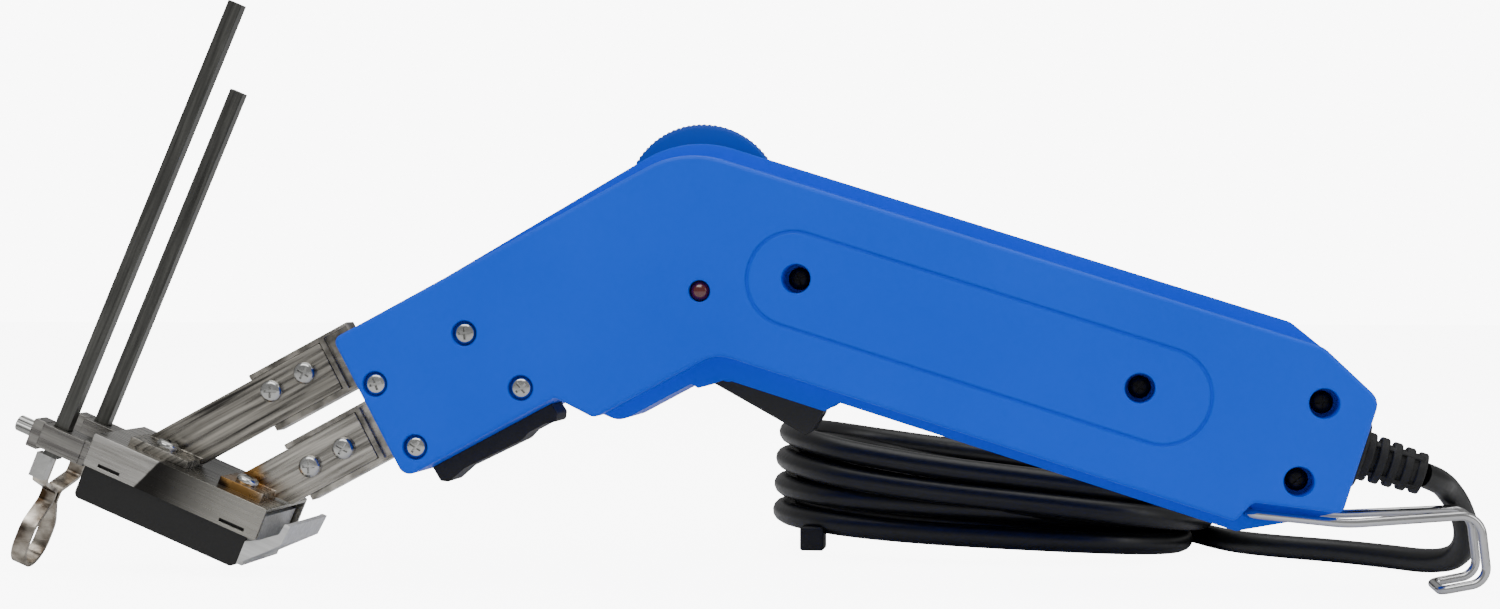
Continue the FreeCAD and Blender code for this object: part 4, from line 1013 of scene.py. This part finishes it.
@dataclass
class SupplyCord:
    """The cord: a run from the bush, seven stacked turns, and a tail to a flat plug."""

    diameter: float = 6.2
    length: float = 2.30
    centre: tuple[float, float] = (64.0, 85.0)
    outer: tuple[float, float] = (59.4, 41.9)
    pitch: tuple[float, float] = (6.4, 6.1)
    points_per_turn: int = 18
    turns: int = 7
    run: tuple[Point, ...] = (
        (174.0, 2.6, 26.6),
        (177.2, 9.4, 24.4),
        (181.5, 14.8, 18.8),
        (184.0, 19.6, 11.5),
        (182.5, 26.0, 5.4),
        (177.0, 34.5, 3.2),
        (167.5, 46.5, 3.2),
        (155.0, 58.0, 3.2),
        (142.0, 66.5, 3.2),
        (131.5, 76.0, 3.2),
        (125.5, 88.5, 3.2),
    )
    tail: tuple[Point, ...] = (
        (121.5, 99.0, 12.8),
        (117.5, 114.5, 12.2),
        (108.5, 128.0, 10.0),
        (96.0, 139.0, 6.0),
        (81.0, 147.0, 3.6),
        (66.0, 151.0, 5.0),
        (52.0, 152.0, 7.2),
    )
    right_columns: tuple[float, ...] = (0.0, 1.0, 2.0, 2.0, 1.0, 0.05, 1.45, 0.45)
    right_heights: tuple[float, ...] = (3.3, 3.2, 3.2, 9.4, 9.4, 9.4, 14.8, 14.8)
    left_columns: tuple[float, ...] = (0.0, 0.95, 0.05, 1.0, 0.15, 1.1, 0.3)
    left_heights: tuple[float, ...] = (10.2, 13.9, 17.6, 21.4, 25.1, 28.8, 32.4)

    def exit(self) -> Vector:
        """Where the cord leaves the bush."""
        return GRIP.at(192.2, 22.0)

    def oval(self, turn: float, column: float) -> tuple[float, float]:
        """Place on an oval with round ends.

        Args:
            turn: Angle of the round ends, in radians.
            column: How many cords in from the outermost oval.

        Returns:
            World x and y in millimetres.
        """
        half_x = self.outer[0] - self.pitch[0] * column
        half_y = self.outer[1] - self.pitch[1] * column
        straight = half_x - half_y
        slide = straight * math.tanh(2.2 * math.cos(turn)) / math.tanh(2.2)
        return self.centre[0] + slide + half_y * math.cos(turn), self.centre[1] + half_y * math.sin(turn)

    def winding(self) -> list[Point]:
        """Points of the loose turns, counter-clockwise from the right.

        Returns:
            The points in millimetres.
        """
        points = []
        count = self.points_per_turn
        for step in range(1, self.turns * count + 1):
            number, part = divmod(step, count)
            number, part = (number, part / count) if part else (number - 1, 1.0)
            ease = 0.5 - 0.5 * math.cos(math.tau * part)
            if part <= 0.5:
                column = self.right_columns[number]
                height = self.right_heights[number]
            else:
                column = self.right_columns[number + 1]
                height = self.right_heights[number + 1]
            column += (self.left_columns[number] - column) * ease
            height += (self.left_heights[number] - height) * ease
            wander = 0.35 * math.sin(1.7 * step) + 0.25 * math.sin(0.6 * step + 1.0)
            x, y = self.oval(math.tau * part, column)
            rise = 0.25 * wander if height > 9.0 else 0.0
            points.append((x, y + 0.4 * wander * (1 - ease), height + rise))
        return points

    def build(self) -> None:
        """Makes the cord, its tie and its plug."""
        exit_point = self.exit()
        route = [tuple(exit_point / MM), *self.run, *self.winding(), *self.tail]
        curve = bpy.data.curves.new("supply_cord", "CURVE")
        curve.dimensions = "3D"
        spline = curve.splines.new("NURBS")
        spline.points.add(len(route) - 1)
        for point, place in zip(spline.points, route):
            point.co = (*(value * MM for value in place), 1.0)
        spline.order_u = 3
        spline.use_endpoint_u = True
        spline.resolution_u = 6
        curve.bevel_depth = self.diameter / 2 * MM
        curve.bevel_resolution = 5
        curve.use_fill_caps = True
        curve.materials.append(SHEATH.build())
        cord = bpy.data.objects.new("supply_cord", curve)
        bpy.context.collection.objects.link(cord)
        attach(cord, "handle")
        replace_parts(cord, "cord_run", "cord_coil", "cord_tail")
        plug = Plug().build()
        tie = self.tie()

    def tie(self) -> bpy.types.Object:
        """The short end of the tie, under the near side of the turns.

        Returns:
            The tie.
        """
        stub = block((6.5 * MM, 8.0 * MM, 6.4 * MM), 0.0)
        bmesh.ops.bevel(
            stub, geom=list(stub.edges), offset=0.7 * MM, affect="EDGES", segments=3, profile=0.5, material=-1
        )
        bmesh.ops.translate(stub, verts=stub.verts, vec=(16.75 * MM, 56.0 * MM, 4.8 * MM))
        smooth_below(stub, 35)
        piece = new_piece("coil_tie", stub, RUBBER, "handle")
        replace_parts(piece, "cord_tie")
        return piece


@dataclass
class Plug:
    """A flat two-pin plug with a bevelled body and a ribbed boot."""

    end: Point = (52.0, 152.0, 7.2)
    length: float = 30.0
    width: float = 30.0
    height: float = 13.6

    def build(self) -> bpy.types.Object:
        """Makes the plug's body and dresses its pins.

        Returns:
            The body.
        """
        body = block((self.length * MM, self.width * MM, self.height * MM))
        front = [edge for edge in body.edges if abs(edge.verts[0].co.z - edge.verts[1].co.z) > 0.001]
        bmesh.ops.bevel(
            body, geom=front, offset=7.0 * MM, affect="EDGES", segments=6, profile=0.5, material=-1
        )
        rims = [edge for edge in body.edges if abs(edge.verts[0].co.z - edge.verts[1].co.z) < 1e-6]
        rims = [edge for edge in rims if abs(abs(edge.verts[0].co.z) - self.height / 2 * MM) < 1e-6]
        bmesh.ops.bevel(
            body, geom=rims, offset=2.4 * MM, affect="EDGES", segments=4, profile=0.5, material=-1
        )
        centre = Vector((self.end[0] - 6.0 - self.length / 2, self.end[1], self.end[2])) * MM
        bmesh.ops.translate(body, verts=body.verts, vec=centre)
        profile = [(0.0, 0.0), (5.4, 0.0)]
        height = 1.0
        for number in range(5):
            radius = 5.3 - 0.28 * number
            profile += [(radius, height), (radius, height + 1.2), (radius - 0.7, height + 1.45)]
            profile += [(radius - 0.7, height + 1.95)]
            height += 2.1
        profile += [(3.6, height), (0.0, height)]
        boot = spun(profile, 36)
        seat(boot, Vector((self.end[0] - 7.0, self.end[1], self.end[2])) * MM, Vector((1, 0, 0)))
        shape = joined([body, boot])
        smooth_below(shape, 35)
        piece = new_piece("plug_body", shape, BLACK_PLASTIC, "handle")
        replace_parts(piece, "plug")
        dress(PIN_METAL, "plug_pins")
        return piece


@dataclass
class Tail:
    """The bail, the bush and the cord."""

    def build(self) -> None:
        """Makes the tail of the tool."""
        dress(WIRE, "bail")
        StrainRelief().build()
        SupplyCord().build()


# ---- the whole tool -----------------------------------------------------------------------------


def main() -> None:
    """Builds the studio, then every sub-assembly in order."""
    logging.basicConfig(level=logging.INFO)
    make_grain()
    make_brush()
    make_band()
    Studio().build()
    Tail().build()
    Housing().build()
    Screws().build()
    Cutter().build()
    Dial().build()
    Inside().build()


if __name__ == "__main__":
    main()
